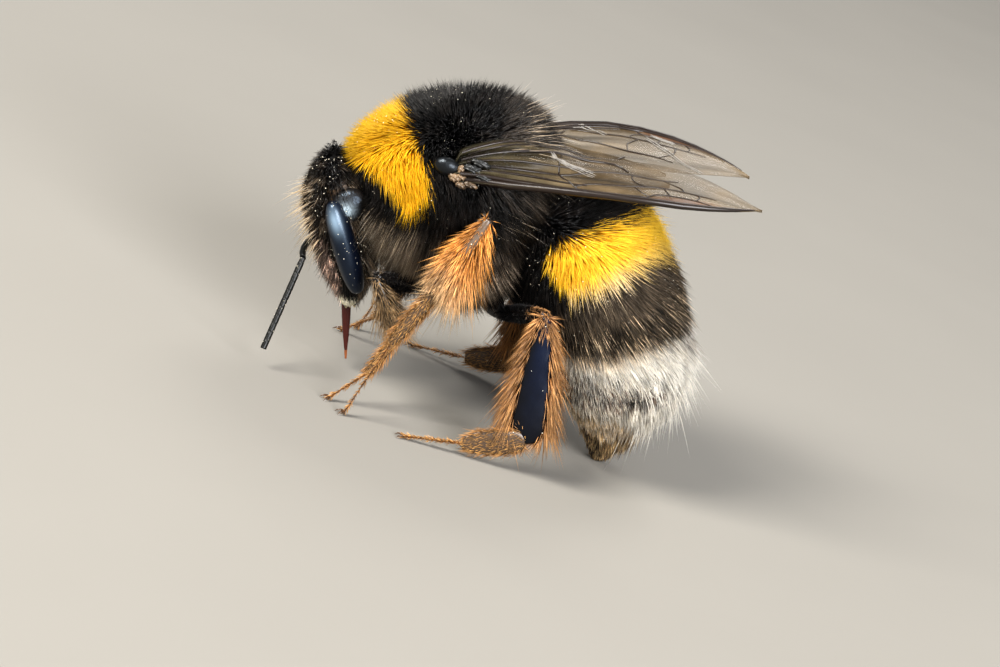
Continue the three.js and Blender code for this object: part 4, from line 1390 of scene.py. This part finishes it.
def leg_limbs(leg, side):
    """The named limbs of one leg, each as share, angle and points."""
    hip, ball, knee, ankle, instep, toes = (sided(joint, side) for joint in leg["joints"])
    broad, sole = leg["broad"], leg["sole"]
    limbs = {
        "coxa": limb(hip, ball, COXA, (0, 0, 1), side),
        "trochanter": limb(ball - (knee - ball) * 0.03, ball + (knee - ball) * 0.13, TROCHANTER, broad, side,
                           rows=13),
        "thigh": limb(ball + (knee - ball) * 0.1, knee, closed_ends(*leg["thigh"]), broad, side),
        "shin": limb(knee, ankle, closed_ends(*leg["shin"]), broad, side, rows=41, columns=33),
        "foot": limb(ankle, instep, closed_ends(*leg["foot"]), sole, side, rows=33),
    }
    for i in range(FOOT_BEADS):
        start, end = (instep + (toes - instep) * share for share in BEAD_ENDS[i:i + 2])
        limbs[f"bead_{i}"] = limb(start, end, BEAD if i + 1 < FOOT_BEADS else LAST_BEAD, (0, 1, 0), side,
                                  rows=15, columns=17)
    ahead = unit((toes - instep) * (1, 1, 0))
    sideways = np.array([-ahead[1], ahead[0], 0])
    for way in (-1, 1):
        limbs[f"claw_{way}"] = None, None, claw(toes + sideways * way * 0.05, ahead, sideways * way)
    return limbs


def leg_tint(pair, name):
    """The shell tint of one limb of a leg."""
    if (pair, name) == ("middle", "shin"):
        return SHIN_SHELL
    if name in ("coxa", "trochanter", "thigh", "shin"):
        return BLACK_SHELL
    return FOOT_SHELL if name == "foot" else BROWN_SHELL if name.startswith("claw") else AMBER_SHELL


# The second tint is a painted sheen, a blue streak along the basket's outer face.
BASKET_DARK, BASKET_PAINTED_SHEEN = np.array((0.0008, 0.001, 0.002)), np.array((0.001, 0.0055, 0.022))
all_limbs = {}
for word, side in SIDES.items():
    for pair, leg in LEGS.items():
        limbs = leg_limbs(leg, side)
        all_limbs[pair, word] = limbs
        nodes = [f"{pair}_{part}_{word}" for part in ("coxa", "femur", "tibia", "basitarsus", "tarsus")]
        shown = [name for name in limbs if (pair, name) != ("hind", "shin")]
        add_piece(f"{pair}_leg_{word}", "shell", [limbs[name][2] for name in shown], shell, nodes,
                  [leg_tint(pair, name) for name in shown])
    share, angle, points = all_limbs["hind", word]["shin"]
    # Painted sheen: strongest towards the front of the outer face near the knee.
    sheen = np.clip(np.cos(angle - math.radians(65)), 0, 1) ** 2 \
        * between(share, (0.1, 1), (0.5, 0.6), (1, 0.1))
    add_piece(f"pollen_basket_{word}", "shell", [points], basket_shell,
              tints=[BASKET_DARK + sheen[..., None] * BASKET_PAINTED_SHEEN])

# %% [markdown]
# The thigh is shaggy underneath, the middle shin a fan, rust brown and cream at its end, and the hind shin
# a fringe round a bare face. The feet have flat gold and rust brown hair, and bristles on every bead. Each
# part of a leg is a scalp of its own, and one leg's scalps are joined before hair grows on them.

# %% Hair of the legs
def edge_share(angle, width):
    """1 on either edge of a limb, falling to 0 on its faces. The outer face's middle lies at 90 degrees."""
    off = np.minimum(np.abs(angle), 180 - np.abs(angle))
    return np.clip(1 - off / width, 0, 1)


def thigh_look(pair):
    """Short black hair, and long hair that hangs off the underside, longest on the fore leg."""
    longer, paler, tint = {"fore": (1.0, 0.9, "grey brown"), "middle": (0.3, 0.2, "grey brown"),
                           "hind": (0.3, 0.0, "rust brown")}[pair]

    def look(station, angle):
        under = np.clip((np.abs(angle) - 100) / 60, 0, 1)
        near_knee = between(station, (0.65, 0), (0.95, 0.8)) * (pair == "hind")
        return {"lift": 0.3 + 0.6 * under, "onward": 0.7 - 1.1 * under * (pair == "fore"),
                "curl": 0.2, "reach": 0.2 + longer * under * between(station, (0.7, 1), (0.95, 0.15)),
                "girth": 0.03, "density": 260, "hair": ("black", tint, np.maximum(paler * under, near_knee))}
    return look


SHIN_LIE = 0.85       # a shin's hair always lies along the leg


def fan_shin(station, angle):
    """The middle shin: long towards its rear edge and its end, and bare on the face near the knee."""
    edge = edge_share(angle, 60)
    rear = np.clip(1.3 - np.abs(angle) / 70, 0, 1)
    middle_face = np.clip(1.4 - np.abs(angle - 90) / 38, 0, 1)
    bare = middle_face * between(station, (0, 1), (0.35, 1), (0.55, 0))
    return dict(reach=between(station, (0, 0.28), (0.25, 0.95), (0.8, 1.1), (1, 0.8))
                * (0.5 + 0.45 * edge + 0.95 * rear) * (1 - 0.7 * bare),
                lift=0.28 + 0.4 * edge + 0.35 * rear, onward=SHIN_LIE, curl=0.2, girth=0.032,
                density=between(station, (0, 160), (0.3, 330), (1, 380)) * (1 - 0.8 * bare),
                hair=("rust", "cream", between(station, (0.5, 0), (0.95, 0.7))))


def basket_shin(station, angle):
    """The hind shin: a fringe along both edges, a bare outer face and a short coat inside."""
    outer = angle > 0
    fringe = edge_share(angle, 46)
    return dict(reach=between(station, (0, 0.5), (0.15, 1.0), (0.5, 1.45), (0.85, 1.35), (1, 0.7))
                * (0.3 + 0.75 * fringe),
                density=np.where(outer, 800 * fringe ** 1.6, 160 + 420 * fringe)
                + between(station, (0.05, 300), (0.18, 0)),
                lift=0.3 + 0.4 * fringe, onward=SHIN_LIE, curl=0.4, girth=0.032,
                hair=("rust brown", "cream", 0.1 * outer))


def brush_shin(station, angle):
    """The fore shin: a looser brush."""
    edge = edge_share(angle, 60)
    return dict(reach=between(station, (0, 0.2), (0.15, 0.5), (0.4, 1.1), (1, 0.8)) * (0.35 + 0.8 * edge),
                density=230, lift=0.28 + 0.45 * edge, onward=SHIN_LIE, girth=0.03, curl=0.3,
                hair=("grey brown", "gold", 0.35))


SHIN_LOOKS = {"fore": brush_shin, "middle": fan_shin, "hind": basket_shin}


def foot_look(pair):
    """Short flat hair on the first foot joint, longer along its edges."""
    def look(station, angle):
        edge = edge_share(angle, 40)
        face = 0.16 if pair == "hind" else 0.2
        return {"lift": 0.25 + 0.3 * edge, "onward": 0.9, "curl": 0.1, "reach": face + 0.32 * edge,
                "girth": 0.026, "density": (170 if pair == "hind" else 240) + 260 * edge,
                "hair": ("gold", "rust brown", 0.3 + 0.7 * edge)}
    return look


def bead_look(station, angle):
    """Stiff bristles that stand off towards the end of each bead."""
    return {"lift": 0.5, "onward": 0.9, "curl": 0.0, "reach": between(station, (0, 0.14), (0.9, 0.32)),
            "girth": 0.026, "density": 190, "hair": ("gold", "rust brown", 0.7)}


def joined(meshes):
    """Several meshes made one."""
    parts = [put_in_scene(mesh.name, mesh) for mesh in meshes]
    with bpy.context.temp_override(active_object=parts[0], selected_editable_objects=parts):
        bpy.ops.object.join()
    whole = parts[0].data
    bpy.data.objects.remove(parts[0])
    return whole


for number, ((pair, word), limbs) in enumerate(all_limbs.items()):
    looks = {"thigh": thigh_look(pair), "shin": SHIN_LOOKS[pair], "foot": foot_look(pair)}
    looks.update({f"bead_{i}": bead_look for i in range(FOOT_BEADS)})
    leg_scalps = [make_scalp(f"{pair}_{part}_{word}_scalp", *limbs[part], look, signed=True)
                  for part, look in looks.items()]
    grow_coat(f"coat_{pair}_leg_{word}", "coat_rust", joined(leg_scalps), seed=50 + number, vary=0.4,
              clump=0.3, clump_size=0.0003)
print("all coats:", sum(coat_sizes), "triangles")

# %% [markdown]
# The wings lie back along the body, front edge down and out. Each is a sheet a few hundredths of a
# millimetre thick, stiffened by veins and pleats. Places on a wing are given as a share of the way from
# root to tip and a share of the way from front to rear edge. The sheet is a closed slab over that net.

# %% The net of a wing
WING_ROOT, WING_TIP = (-4.4, 3.4, 9.35), (6.3, 3.0, 12.1)
WING_ROLL = {   # share of the length, degrees up from level: the right wing is held a little flatter
    LEFT: ((0, 72), (0.12, 58), (0.26, 30), (0.42, 10), (0.6, 6), (1, 8)),
    RIGHT: ((0, 62), (0.12, 42), (0.26, 5), (0.42, -14), (0.6, -12), (1, -5))}
WING_ARCH, HINDWING_DROP = {LEFT: 0.5, RIGHT: 0.95}, 0.4
FOREWING = [  # share of the length, front edge, rear edge, in millimetres off the axis
    (-0.02, 0.2, 0.8), (0, 0.05, 1.3), (0.1, 0.0, 1.75), (0.25, -0.3, 2.25), (0.4, -0.75, 2.7),
    (0.55, -1.0, 2.8), (0.7, -0.95, 2.7), (0.82, -0.7, 2.25), (0.92, -0.35, 1.45), (0.97, -0.08, 0.92),
    (1.0, 0.16, 0.56), (1.014, 0.32, 0.38), (1.02, 0.35, 0.36)]
HINDWING = [(0.06, 0.4, 0.9), (0.2, 0.5, 1.75), (0.35, 0.65, 2.5), (0.5, 0.9, 2.85), (0.62, 1.25, 2.7),
            (0.69, 1.6, 2.4), (0.72, 1.9, 2.1)]
SHEET = 0.022       # thickness of the membrane


def wing_place(outline, side, drop, share, across, rise=0.0):
    """Points on a wing. across runs from 0 at the front edge to 1 at the rear edge."""
    root, tip = sided(WING_ROOT, side), sided(WING_TIP, side)
    span, along = tip - root, unit(tip - root)
    roll = np.radians(between(share, *WING_ROLL[side]))
    inwards = np.stack([0 * roll, -side * np.cos(roll), np.sin(roll)], -1)
    inwards = unit(inwards - along * np.sum(inwards * along, -1, keepdims=True))
    upwards = unit(np.cross(along, inwards)) * -side
    edges = smooth_row(outline, np.linspace(0, len(outline) - 1, 120))
    front, rear = (np.interp(share, edges[:, 0], edges[:, i]) for i in (1, 2))
    base_pleats = 0.13 * np.cos(across * 21 + 1) + 0.05 * np.cos(across * 47 + share * 5)
    fold = base_pleats * np.clip(1 - share / 0.7, 0, 1) + 0.06 * np.sin(across * 9 + share * 7)
    rise = rise + fold * (1 - across * 0.3) + WING_ARCH[side] * 4 * share * (1 - share) - drop
    inward = front + (rear - front) * across
    return root + share[..., None] * span + inward[..., None] * inwards + rise[..., None] * upwards


def wing_net(outline, rows, columns):
    """Share, across and side over the ring of a slab: the top from front to rear, then back along the
    underside. Side is 1 on top and -1 beneath. The last column closes the ring."""
    share = np.linspace(outline[0][0], outline[-1][0], rows)[:, None]
    across = np.linspace(0, 1, columns)
    ring = np.concatenate([across, across[::-1], across[:1]])[None]
    level = np.concatenate([np.ones(columns), -np.ones(columns), np.ones(1)])[None]
    return np.broadcast_arrays(share, ring, level)

# %% [markdown]
# A strong pair of veins runs along the front edge, with a dark spot beyond the middle. Long ones thin out
# from the root, and cross veins close the cells. Each is a thickness and a few places on the wing's net,
# and Geometry Nodes turn these paths into tubes.

# %% Veins
FOREWING_VEINS = [  # half thickness, then places (share, across)
    (0.15, (0, 0.12), (0.1, 0.06), (0.3, 0.03), (0.56, 0.02), (0.8, 0.01), (0.92, 0.03), (0.99, 0.06)),
    (0.05, (0.0, 0.33), (0.15, 0.26), (0.3, 0.22), (0.42, 0.2)),
    (0.045, (0.02, 0.55), (0.15, 0.52), (0.3, 0.5), (0.42, 0.5)),
    (0.045, (0.02, 0.76), (0.12, 0.8), (0.24, 0.86), (0.34, 0.88)),
    (0.1, (0.0, 0.24), (0.2, 0.12), (0.4, 0.08), (0.6, 0.05)),
    (0.05, (0.0, 0.2), (0.2, 0.16), (0.4, 0.12), (0.55, 0.09)),
    (0.08, (0.0, 0.45), (0.15, 0.4), (0.33, 0.38)),
    (0.12, (0.55, 0.05), (0.6, 0.055), (0.645, 0.035)),
    (0.042, (0.33, 0.38), (0.36, 0.24), (0.42, 0.07)),
    (0.042, (0.33, 0.38), (0.45, 0.5), (0.56, 0.6), (0.68, 0.62), (0.74, 0.68)),
    (0.042, (0.38, 0.18), (0.47, 0.26), (0.56, 0.29), (0.68, 0.34), (0.78, 0.33), (0.86, 0.3)),
    (0.042, (0.6, 0.06), (0.66, 0.18), (0.78, 0.15), (0.87, 0.02)),
    (0.034, (0.63, 0.13), (0.6, 0.2), (0.58, 0.3)),
    (0.034, (0.7, 0.175), (0.69, 0.25), (0.68, 0.34)),
    (0.034, (0.785, 0.145), (0.8, 0.24), (0.79, 0.33)),
    (0.034, (0.62, 0.31), (0.58, 0.45), (0.58, 0.6)),
    (0.034, (0.75, 0.335), (0.74, 0.48), (0.69, 0.62)),
    (0.07, (0.0, 0.65), (0.15, 0.72), (0.35, 0.8), (0.52, 0.84), (0.57, 0.72)),
    (0.06, (0.0, 0.85), (0.15, 0.9), (0.35, 0.93), (0.46, 0.95)),
    (0.036, (0.33, 0.38), (0.33, 0.58), (0.34, 0.79)),
]
HINDWING_VEINS = [
    (0.035, (0.07, 0.2), (0.3, 0.06), (0.5, 0.04), (0.66, 0.1)),
    (0.042, (0.07, 0.4), (0.25, 0.35), (0.4, 0.3), (0.6, 0.35)),
    (0.026, (0.07, 0.6), (0.25, 0.68), (0.4, 0.72), (0.56, 0.7)),
    (0.034, (0.38, 0.31), (0.38, 0.5), (0.4, 0.72)),
]


def build_vein_tree():
    """Turns paths into tubes: each point's own thickness is the tube's radius there."""
    inputs = [SHAPE_IN, ("Sides", "NodeSocketInt", 6), FINISH_IN]
    tree, given, result = new_group("veins", "GeometryNodeTree", inputs, SHAPE_OUT)
    paths = node_out(tree, "GeometryNodeMeshToCurve", {0: given["Geometry"]})
    thick = read_attribute(tree, "thick", NUMBER)
    ring = add_node(tree, "GeometryNodeCurvePrimitiveCircle", {"Resolution": given["Sides"], "Radius": 1.0})
    tubes = node_out(tree, "GeometryNodeCurveToMesh", {"Curve": paths, "Profile Curve": ring.outputs[0],
                                                       "Scale": thick, "Fill Caps": True})
    smooth = node_out(tree, "GeometryNodeSetShadeSmooth", {0: tubes})
    return finish_tree(tree, given, result, smooth)


vein_tree = build_vein_tree()
STRONG_VEIN = 0.1      # from this half thickness on, a vein runs out in a thin end


def add_veins(name, outline, side, drop, veins, material, steps=14, ragged=0.0):
    """The vein paths of one wing, laid on its net and turned into tubes. Ragged ones swell and shrink."""
    points, edges, thick = [], [], []
    for half, *places in veins:
        along = smooth_row(places, np.linspace(0, len(places) - 1, steps))
        start = sum(map(len, points))
        points.append(wing_place(outline, side, drop, along[:, 0], along[:, 1]))
        edges += [(start + i, start + i + 1) for i in range(steps - 1)]
        uneven = 1 + ragged * np.sin(np.arange(steps) * 2.4) * np.cos(np.arange(steps) * 1.1)
        end = 0.2 if half >= STRONG_VEIN else 0.6
        thick.append(half * between(np.linspace(0, 1, steps), (0, 1), (0.6, 0.9), (1, end)) * uneven)
    mesh = bpy.data.meshes.new(name + "_paths")
    mesh.from_pydata(to_frame(np.concatenate(points)), edges, [])
    add_plan(mesh, "thick", np.concatenate(thick) * MM)
    hand_over(run_tree(name, mesh, vein_tree, material=material), "wing")

# %% [markdown]
# The membrane is a smoky brown film, darkest at the root and along the front edge, and clearer towards the
# tip. Tint and smoke are stored at every point, and a cloud breaks both up. Near the root the tint also
# carries painted light and shade in lines along the pleats. Worn creases, and on the right wing painted
# glints, are bundles of thin pale strands on the same net.

# %% Wing finish
def make_membrane():
    """Smoky film: its tint and smoke change over the wing, with a fine grain of tiny hairs."""
    material, tree, shader = new_material("membrane", Specular_IOR_Level=0.24)
    place = own_place(tree)
    grain, cloud = pits_at(tree, place, 14000), noise_at(tree, place, 900, 4)["Fac"]
    cloudy = maths(tree, "MULTIPLY_ADD", cloud, 1.6, 0.2)
    smoke = own_value(tree, "smoke", "Fac")
    wire(tree, shader, Base_Color=scaled(tree, own_value(tree, "shell_tint"), cloudy),
         Roughness=maths(tree, "MULTIPLY_ADD", cloud, 0.4, 0.14),
         Alpha=maths(tree, "MULTIPLY_ADD", maths(tree, "SUBTRACT", cloud, 0.5), 0.35, smoke),
         Normal=bump_normal(tree, grain, 0.000006, 0.3))
    return material


membrane = make_membrane()
vein_shell = make_shell_material("vein", (0.014, 0.008, 0.005), gloss=0.32, bump=0.1)
worn_film = make_shell_material("worn_film", (0.2, 0.185, 0.165), pit_scale=12000.0, gloss=0.3, bump=1.0,
                                depth=0.00003)
# On the right wing the pale strands are painted glints, where the membrane would reflect the light; on the
# left wing they are a worn, frayed crease.
WORN_AND_GLINT_LINES = {    # the left wing has one frayed crease, the right one a few shining ones
    LEFT: [((0.3, 0.72), (0.35, 0.52), (0.4, 0.46), (0.445, 0.41))],
    RIGHT: [((0.645, 0.24), (0.69, 0.37), (0.74, 0.5), (0.835, 0.94)),
            ((0.38, 0.03), (0.42, 0.05), (0.495, 0.25)), ((0.66, 0.1), (0.7, 0.16), (0.74, 0.2))]}
FRAYED, STRAND_THICK = 5, 0.02        # strands side by side in a crease, and their half thickness
CREASE_DROP = 0.03                    # how far a crease lies below the wing's net
ROOT_FILM, BASE_FILM, MIDDLE_FILM = (0.03, 0.026, 0.014), (0.08, 0.062, 0.034), (0.105, 0.075, 0.042)
CELL_FILM, RIM_FILM = (0.07, 0.032, 0.013), (0.14, 0.1, 0.055)


def film(share, across):
    """Tint and smoke of a wing. It is darkest along the front edge and in the cell behind it. Near the root,
    light and dark lines along the pleats are painted light and shade.
    """
    tint = [between(share, *zip((0.03, 0.24, 0.42, 0.8, 1), channel)) for channel in
            zip(ROOT_FILM, BASE_FILM, MIDDLE_FILM, MIDDLE_FILM, RIM_FILM)]
    # Painted light and shade: light and dark lines along the pleats near the root, in tint and smoke.
    painted_pleat_light = (0.7 * np.cos(across * 21 + 1.4) + 0.5 * np.cos(across * 53 + share * 5)) \
        * between(share, (0, 0.75), (0.35, 0.6), (0.7, 0.15))
    tint = np.stack(tint, -1) * (1 + painted_pleat_light)[..., None]
    cell = (np.clip(1.3 - oval_share(share, across, (0.74, 0.08), (0.13, 0.1)), 0, 1))[..., None]
    tint = tint * (1 - cell) + np.array(CELL_FILM) * cell
    smoke = between(share, (0, 0.72), (0.3, 0.46), (0.6, 0.42), (1, 0.4)) \
        + between(across, (0, 0.4), (0.14, 0.25), (0.3, 0), (1, -0.05)) - 0.25 * painted_pleat_light
    return tint, np.clip(smoke + 0.3 * cell[..., 0], 0.3, 0.97)


def add_wing(name, outline, side, drop, veins, node):
    """One wing: its membrane, its veins and, on a forewing, its pale strands: a worn crease on the left
    forewing, painted glints on the right one.
    """
    share, across, level = wing_net(outline, 70, 48)
    sheet = wing_place(outline, side, drop, share, across, level * SHEET / 2)
    tint, smoke = film(share, across)
    piece = add_piece(name, "wing", [sheet], membrane, [node], [tint])
    add_plan(piece.data, "smoke", smoke[:, :-1])
    add_veins(name.replace("wing", "wing_veins"), outline, side, drop, veins, vein_shell)
    if outline is FOREWING:
        strands = [(STRAND_THICK, *[(share + 0.005 * (i % 3), across + 0.018 * i) for share, across in line])
                   for line in WORN_AND_GLINT_LINES[side] for i in range(FRAYED)]
        add_veins(name.replace("wing", "wing_crease"), outline, side, drop - CREASE_DROP, strands, worn_film,
                  24, 0.5)


for word, side in SIDES.items():
    add_wing(f"front_wing_{word}", FOREWING, side, 0.0, FOREWING_VEINS, f"forewing_{word}")
    add_wing(f"rear_wing_{word}", HINDWING, side, HINDWING_DROP, HINDWING_VEINS, f"hindwing_{word}")

# %% [markdown]
# Where a wing joins the thorax lies a small black scale, and behind it hard knuckles, brown and near black,
# that fold the wing. Each is a ball pushed out of shape by two waves, so that no two catch light alike.

# %% Wing roots
TEGULA_PLACE, TEGULA_HALF = np.array([-5.0, 3.2, 9.75]), (0.5, 0.28, 0.34)
KNUCKLES = [((-4.62, 3.38, 9.5), (0.22, 0.18, 0.15)), ((-4.3, 3.42, 9.32), (0.24, 0.14, 0.12)),
            ((-4.5, 3.35, 9.85), (0.12, 0.12, 0.16)), ((-3.98, 3.5, 9.46), (0.24, 0.12, 0.1)),
            ((-4.42, 3.4, 9.6), (0.2, 0.14, 0.11))]
DARK_KNUCKLES = [((-4.1, 3.35, 10.0), (0.36, 0.14, 0.15)), ((-3.9, 3.3, 10.3), (0.34, 0.11, 0.12)),
                 ((-3.6, 3.42, 9.85), (0.34, 0.1, 0.1))]


hinge_plates = make_shell_material("hinge_plates", (0.012, 0.0125, 0.012), gloss=0.4, bump=0.15, mottle=1.2)
root_plates = make_shell_material("root_plates", (0.2, 0.135, 0.08), pit_scale=7000.0, gloss=0.36, bump=0.5,
                                  depth=0.00003, mottle=3.4)


def lump(centre, half, rows=21, columns=29):
    """A knobbly ellipsoid."""
    ball = unit_ball(rows, columns, 0.8)
    waves = np.sin(ball @ np.array([7.0, 2.0, 4.0]) + centre[0] * 9) \
        * np.sin(ball @ np.array([-3.0, 6.0, 5.0]))
    return np.array(centre) + ball * (1 + 0.25 * waves[..., None]) * np.array(half)


for word, side in SIDES.items():
    scale = ball_grid(sided(TEGULA_PLACE, side), TEGULA_HALF, 25, 37)
    add_piece(f"wing_scale_{word}", "shell", [scale], scale_shell, [f"tegula_{word}"])
    for name, row, material in (("root", KNUCKLES, root_plates), ("hinge", DARK_KNUCKLES, hinge_plates)):
        lumps = [lump(sided(place, side), half) for place, half in row]
        add_piece(f"wing_{name}_{word}", "shell", lumps, material)

# %% [markdown]
# Behind the upper end of each eye the cheek is a bare plate. It is a blunt ball on the head's axes. Its
# shine is a painted highlight of the sky: a spot of pale tint, streaked round its middle as by fine down.

# %% Cheek plates
# The pale spot on each cheek plate is a painted highlight of the sky.
CHEEK_PAINTED_HIGHLIGHT = np.array((0.42, 0.52, 0.58))
CHEEK_GRID, CHEEK_BLUNT = (49, 97), 0.85
for word, side in SIDES.items():
    plate = head_ball((1.93, -0.4, 1.35), (0.66, 0.7, 0.4), *CHEEK_GRID, 0.0, side, 0.3, CHEEK_BLUNT)
    local = unit_ball(*CHEEK_GRID, CHEEK_BLUNT)
    front, up = local[..., 0] - 0.3, local[..., 2] + 0.15
    streaks = 0.75 + 0.25 * np.sin(38 * np.arctan2(up, -front) + 5 * front)
    painted_highlight = streaks * np.exp(-(front ** 2 + up ** 2) / 0.2)
    add_piece(f"cheek_{word}", "shell", [plate], cheek_shell,
              tints=[np.array(BLACK_SHELL) + painted_highlight[..., None] * CHEEK_PAINTED_HIGHLIGHT])

# %% [markdown]
# Pollen and dust stick to a bee that feeds. Geometry Nodes scatter tiny balls over the eyes, feelers, jaws
# and legs, and over surfaces just under the tips of the coat. A noise gathers them in places.

# %% Dust
def build_dust_tree():
    inputs = [SHAPE_IN, ("Seed", "NodeSocketInt", 1), ("Density", FLOAT, 1e6), ("Smallest", FLOAT, 0.00001),
              ("Largest", FLOAT, 0.00003), FINISH_IN]
    tree, given, result = new_group("dust", "GeometryNodeTree", inputs, SHAPE_OUT)
    place = node_out(tree, "GeometryNodeInputPosition")
    gathered = spread_range(tree, noise_at(tree, place, 900, 1)["Fac"], 0.48, 0.7, 0.05, 1.0)
    density = times(tree, given["Density"], gathered)
    spots = add_node(tree, "GeometryNodeDistributePointsOnFaces",
                     {"Mesh": given["Geometry"], "Density": density, "Seed": given["Seed"]}).outputs["Points"]
    chance = luck(tree, given["Seed"], 1)
    size = maths(tree, "MULTIPLY_ADD", times(tree, chance, chance),
                 maths(tree, "SUBTRACT", given["Largest"], given["Smallest"]), given["Smallest"])
    grain = node_out(tree, "GeometryNodeMeshIcoSphere", {"Radius": 1.0, "Subdivisions": 1})
    grain = node_out(tree, "GeometryNodeSetShadeSmooth", {0: grain})
    grains = node_out(tree, "GeometryNodeInstanceOnPoints",
                      {"Points": spots, "Instance": grain, "Scale": size})
    return finish_tree(tree, given, result, grains)


dust_tree = build_dust_tree()


POLLEN_TINTS = (0.9, 0.88, 0.8, 1), (0.75, 0.66, 0.42, 1)


def make_pollen():
    """Pale grains, some creamier than others."""
    material, tree, shader = new_material("pollen", Roughness=0.7)
    cloud = noise_at(tree, own_place(tree), 4000, 2)["Fac"]
    wire(tree, shader, Base_Color=mix_colours(tree, cloud, *POLLEN_TINTS))
    return material


pollen = make_pollen()


def add_dust(name, grids, density, smallest, largest, seed):
    """Grains scattered over grids of points. density is for each square millimetre."""
    faces, start = [], 0
    for grid in grids:
        faces.append(grid_faces(*grid.shape[:2]) + start)
        start += grid.shape[0] * grid.shape[1]
    mesh = bpy.data.meshes.new(name + "_ground")
    points = np.concatenate([grid.reshape(-1, 3) for grid in grids])
    mesh.from_pydata(to_frame(points), [], np.concatenate(faces))
    hand_over(run_tree(name, mesh, dust_tree, material=pollen, seed=seed, density=density / MM ** 2,
                       smallest=smallest * MM, largest=largest * MM), "coat_white")


def near_tips(trunk, first, last, depth):
    """A surface just under the tips of the coat on a loft."""
    return trunk.grid(first, last, 30, 60, lambda station, angle: depth)[2]


eye_grids = [compound_eye(side, 25, 33) for side in SIDES.values()]
leg_grids = [all_limbs[pair, word][part][2] for pair in LEGS for word in SIDES for part in ("shin", "foot")]
jaw_grids = [head_ball((5.68, 0.02, 0.52), (0.4, 0.36, 0.34), 15, 21, 0.0, side) for side in SIDES.values()]
DUST = [   # name, grids, grains for each square millimetre, half size of the smallest and largest, seed
    ("dust_eyes", eye_grids, 22, 0.007, 0.019, 61),
    ("dust_coat", [near_tips(thorax, 0, 7, 0.1), near_tips(abdomen, 0, 3, 0.15)], 11, 0.008, 0.023, 62),
    ("dust_legs", leg_grids, 5, 0.014, 0.03, 63),
    ("dust_feelers", feeler_grids, 160, 0.01, 0.026, 65),
    ("dust_head", [near_tips(head, 0.6, 5.6, 0.12)], 40, 0.01, 0.026, 66),
    ("pollen_jaws", jaw_grids, 900, 0.02, 0.05, 64),
]
for row in DUST:
    add_dust(*row)
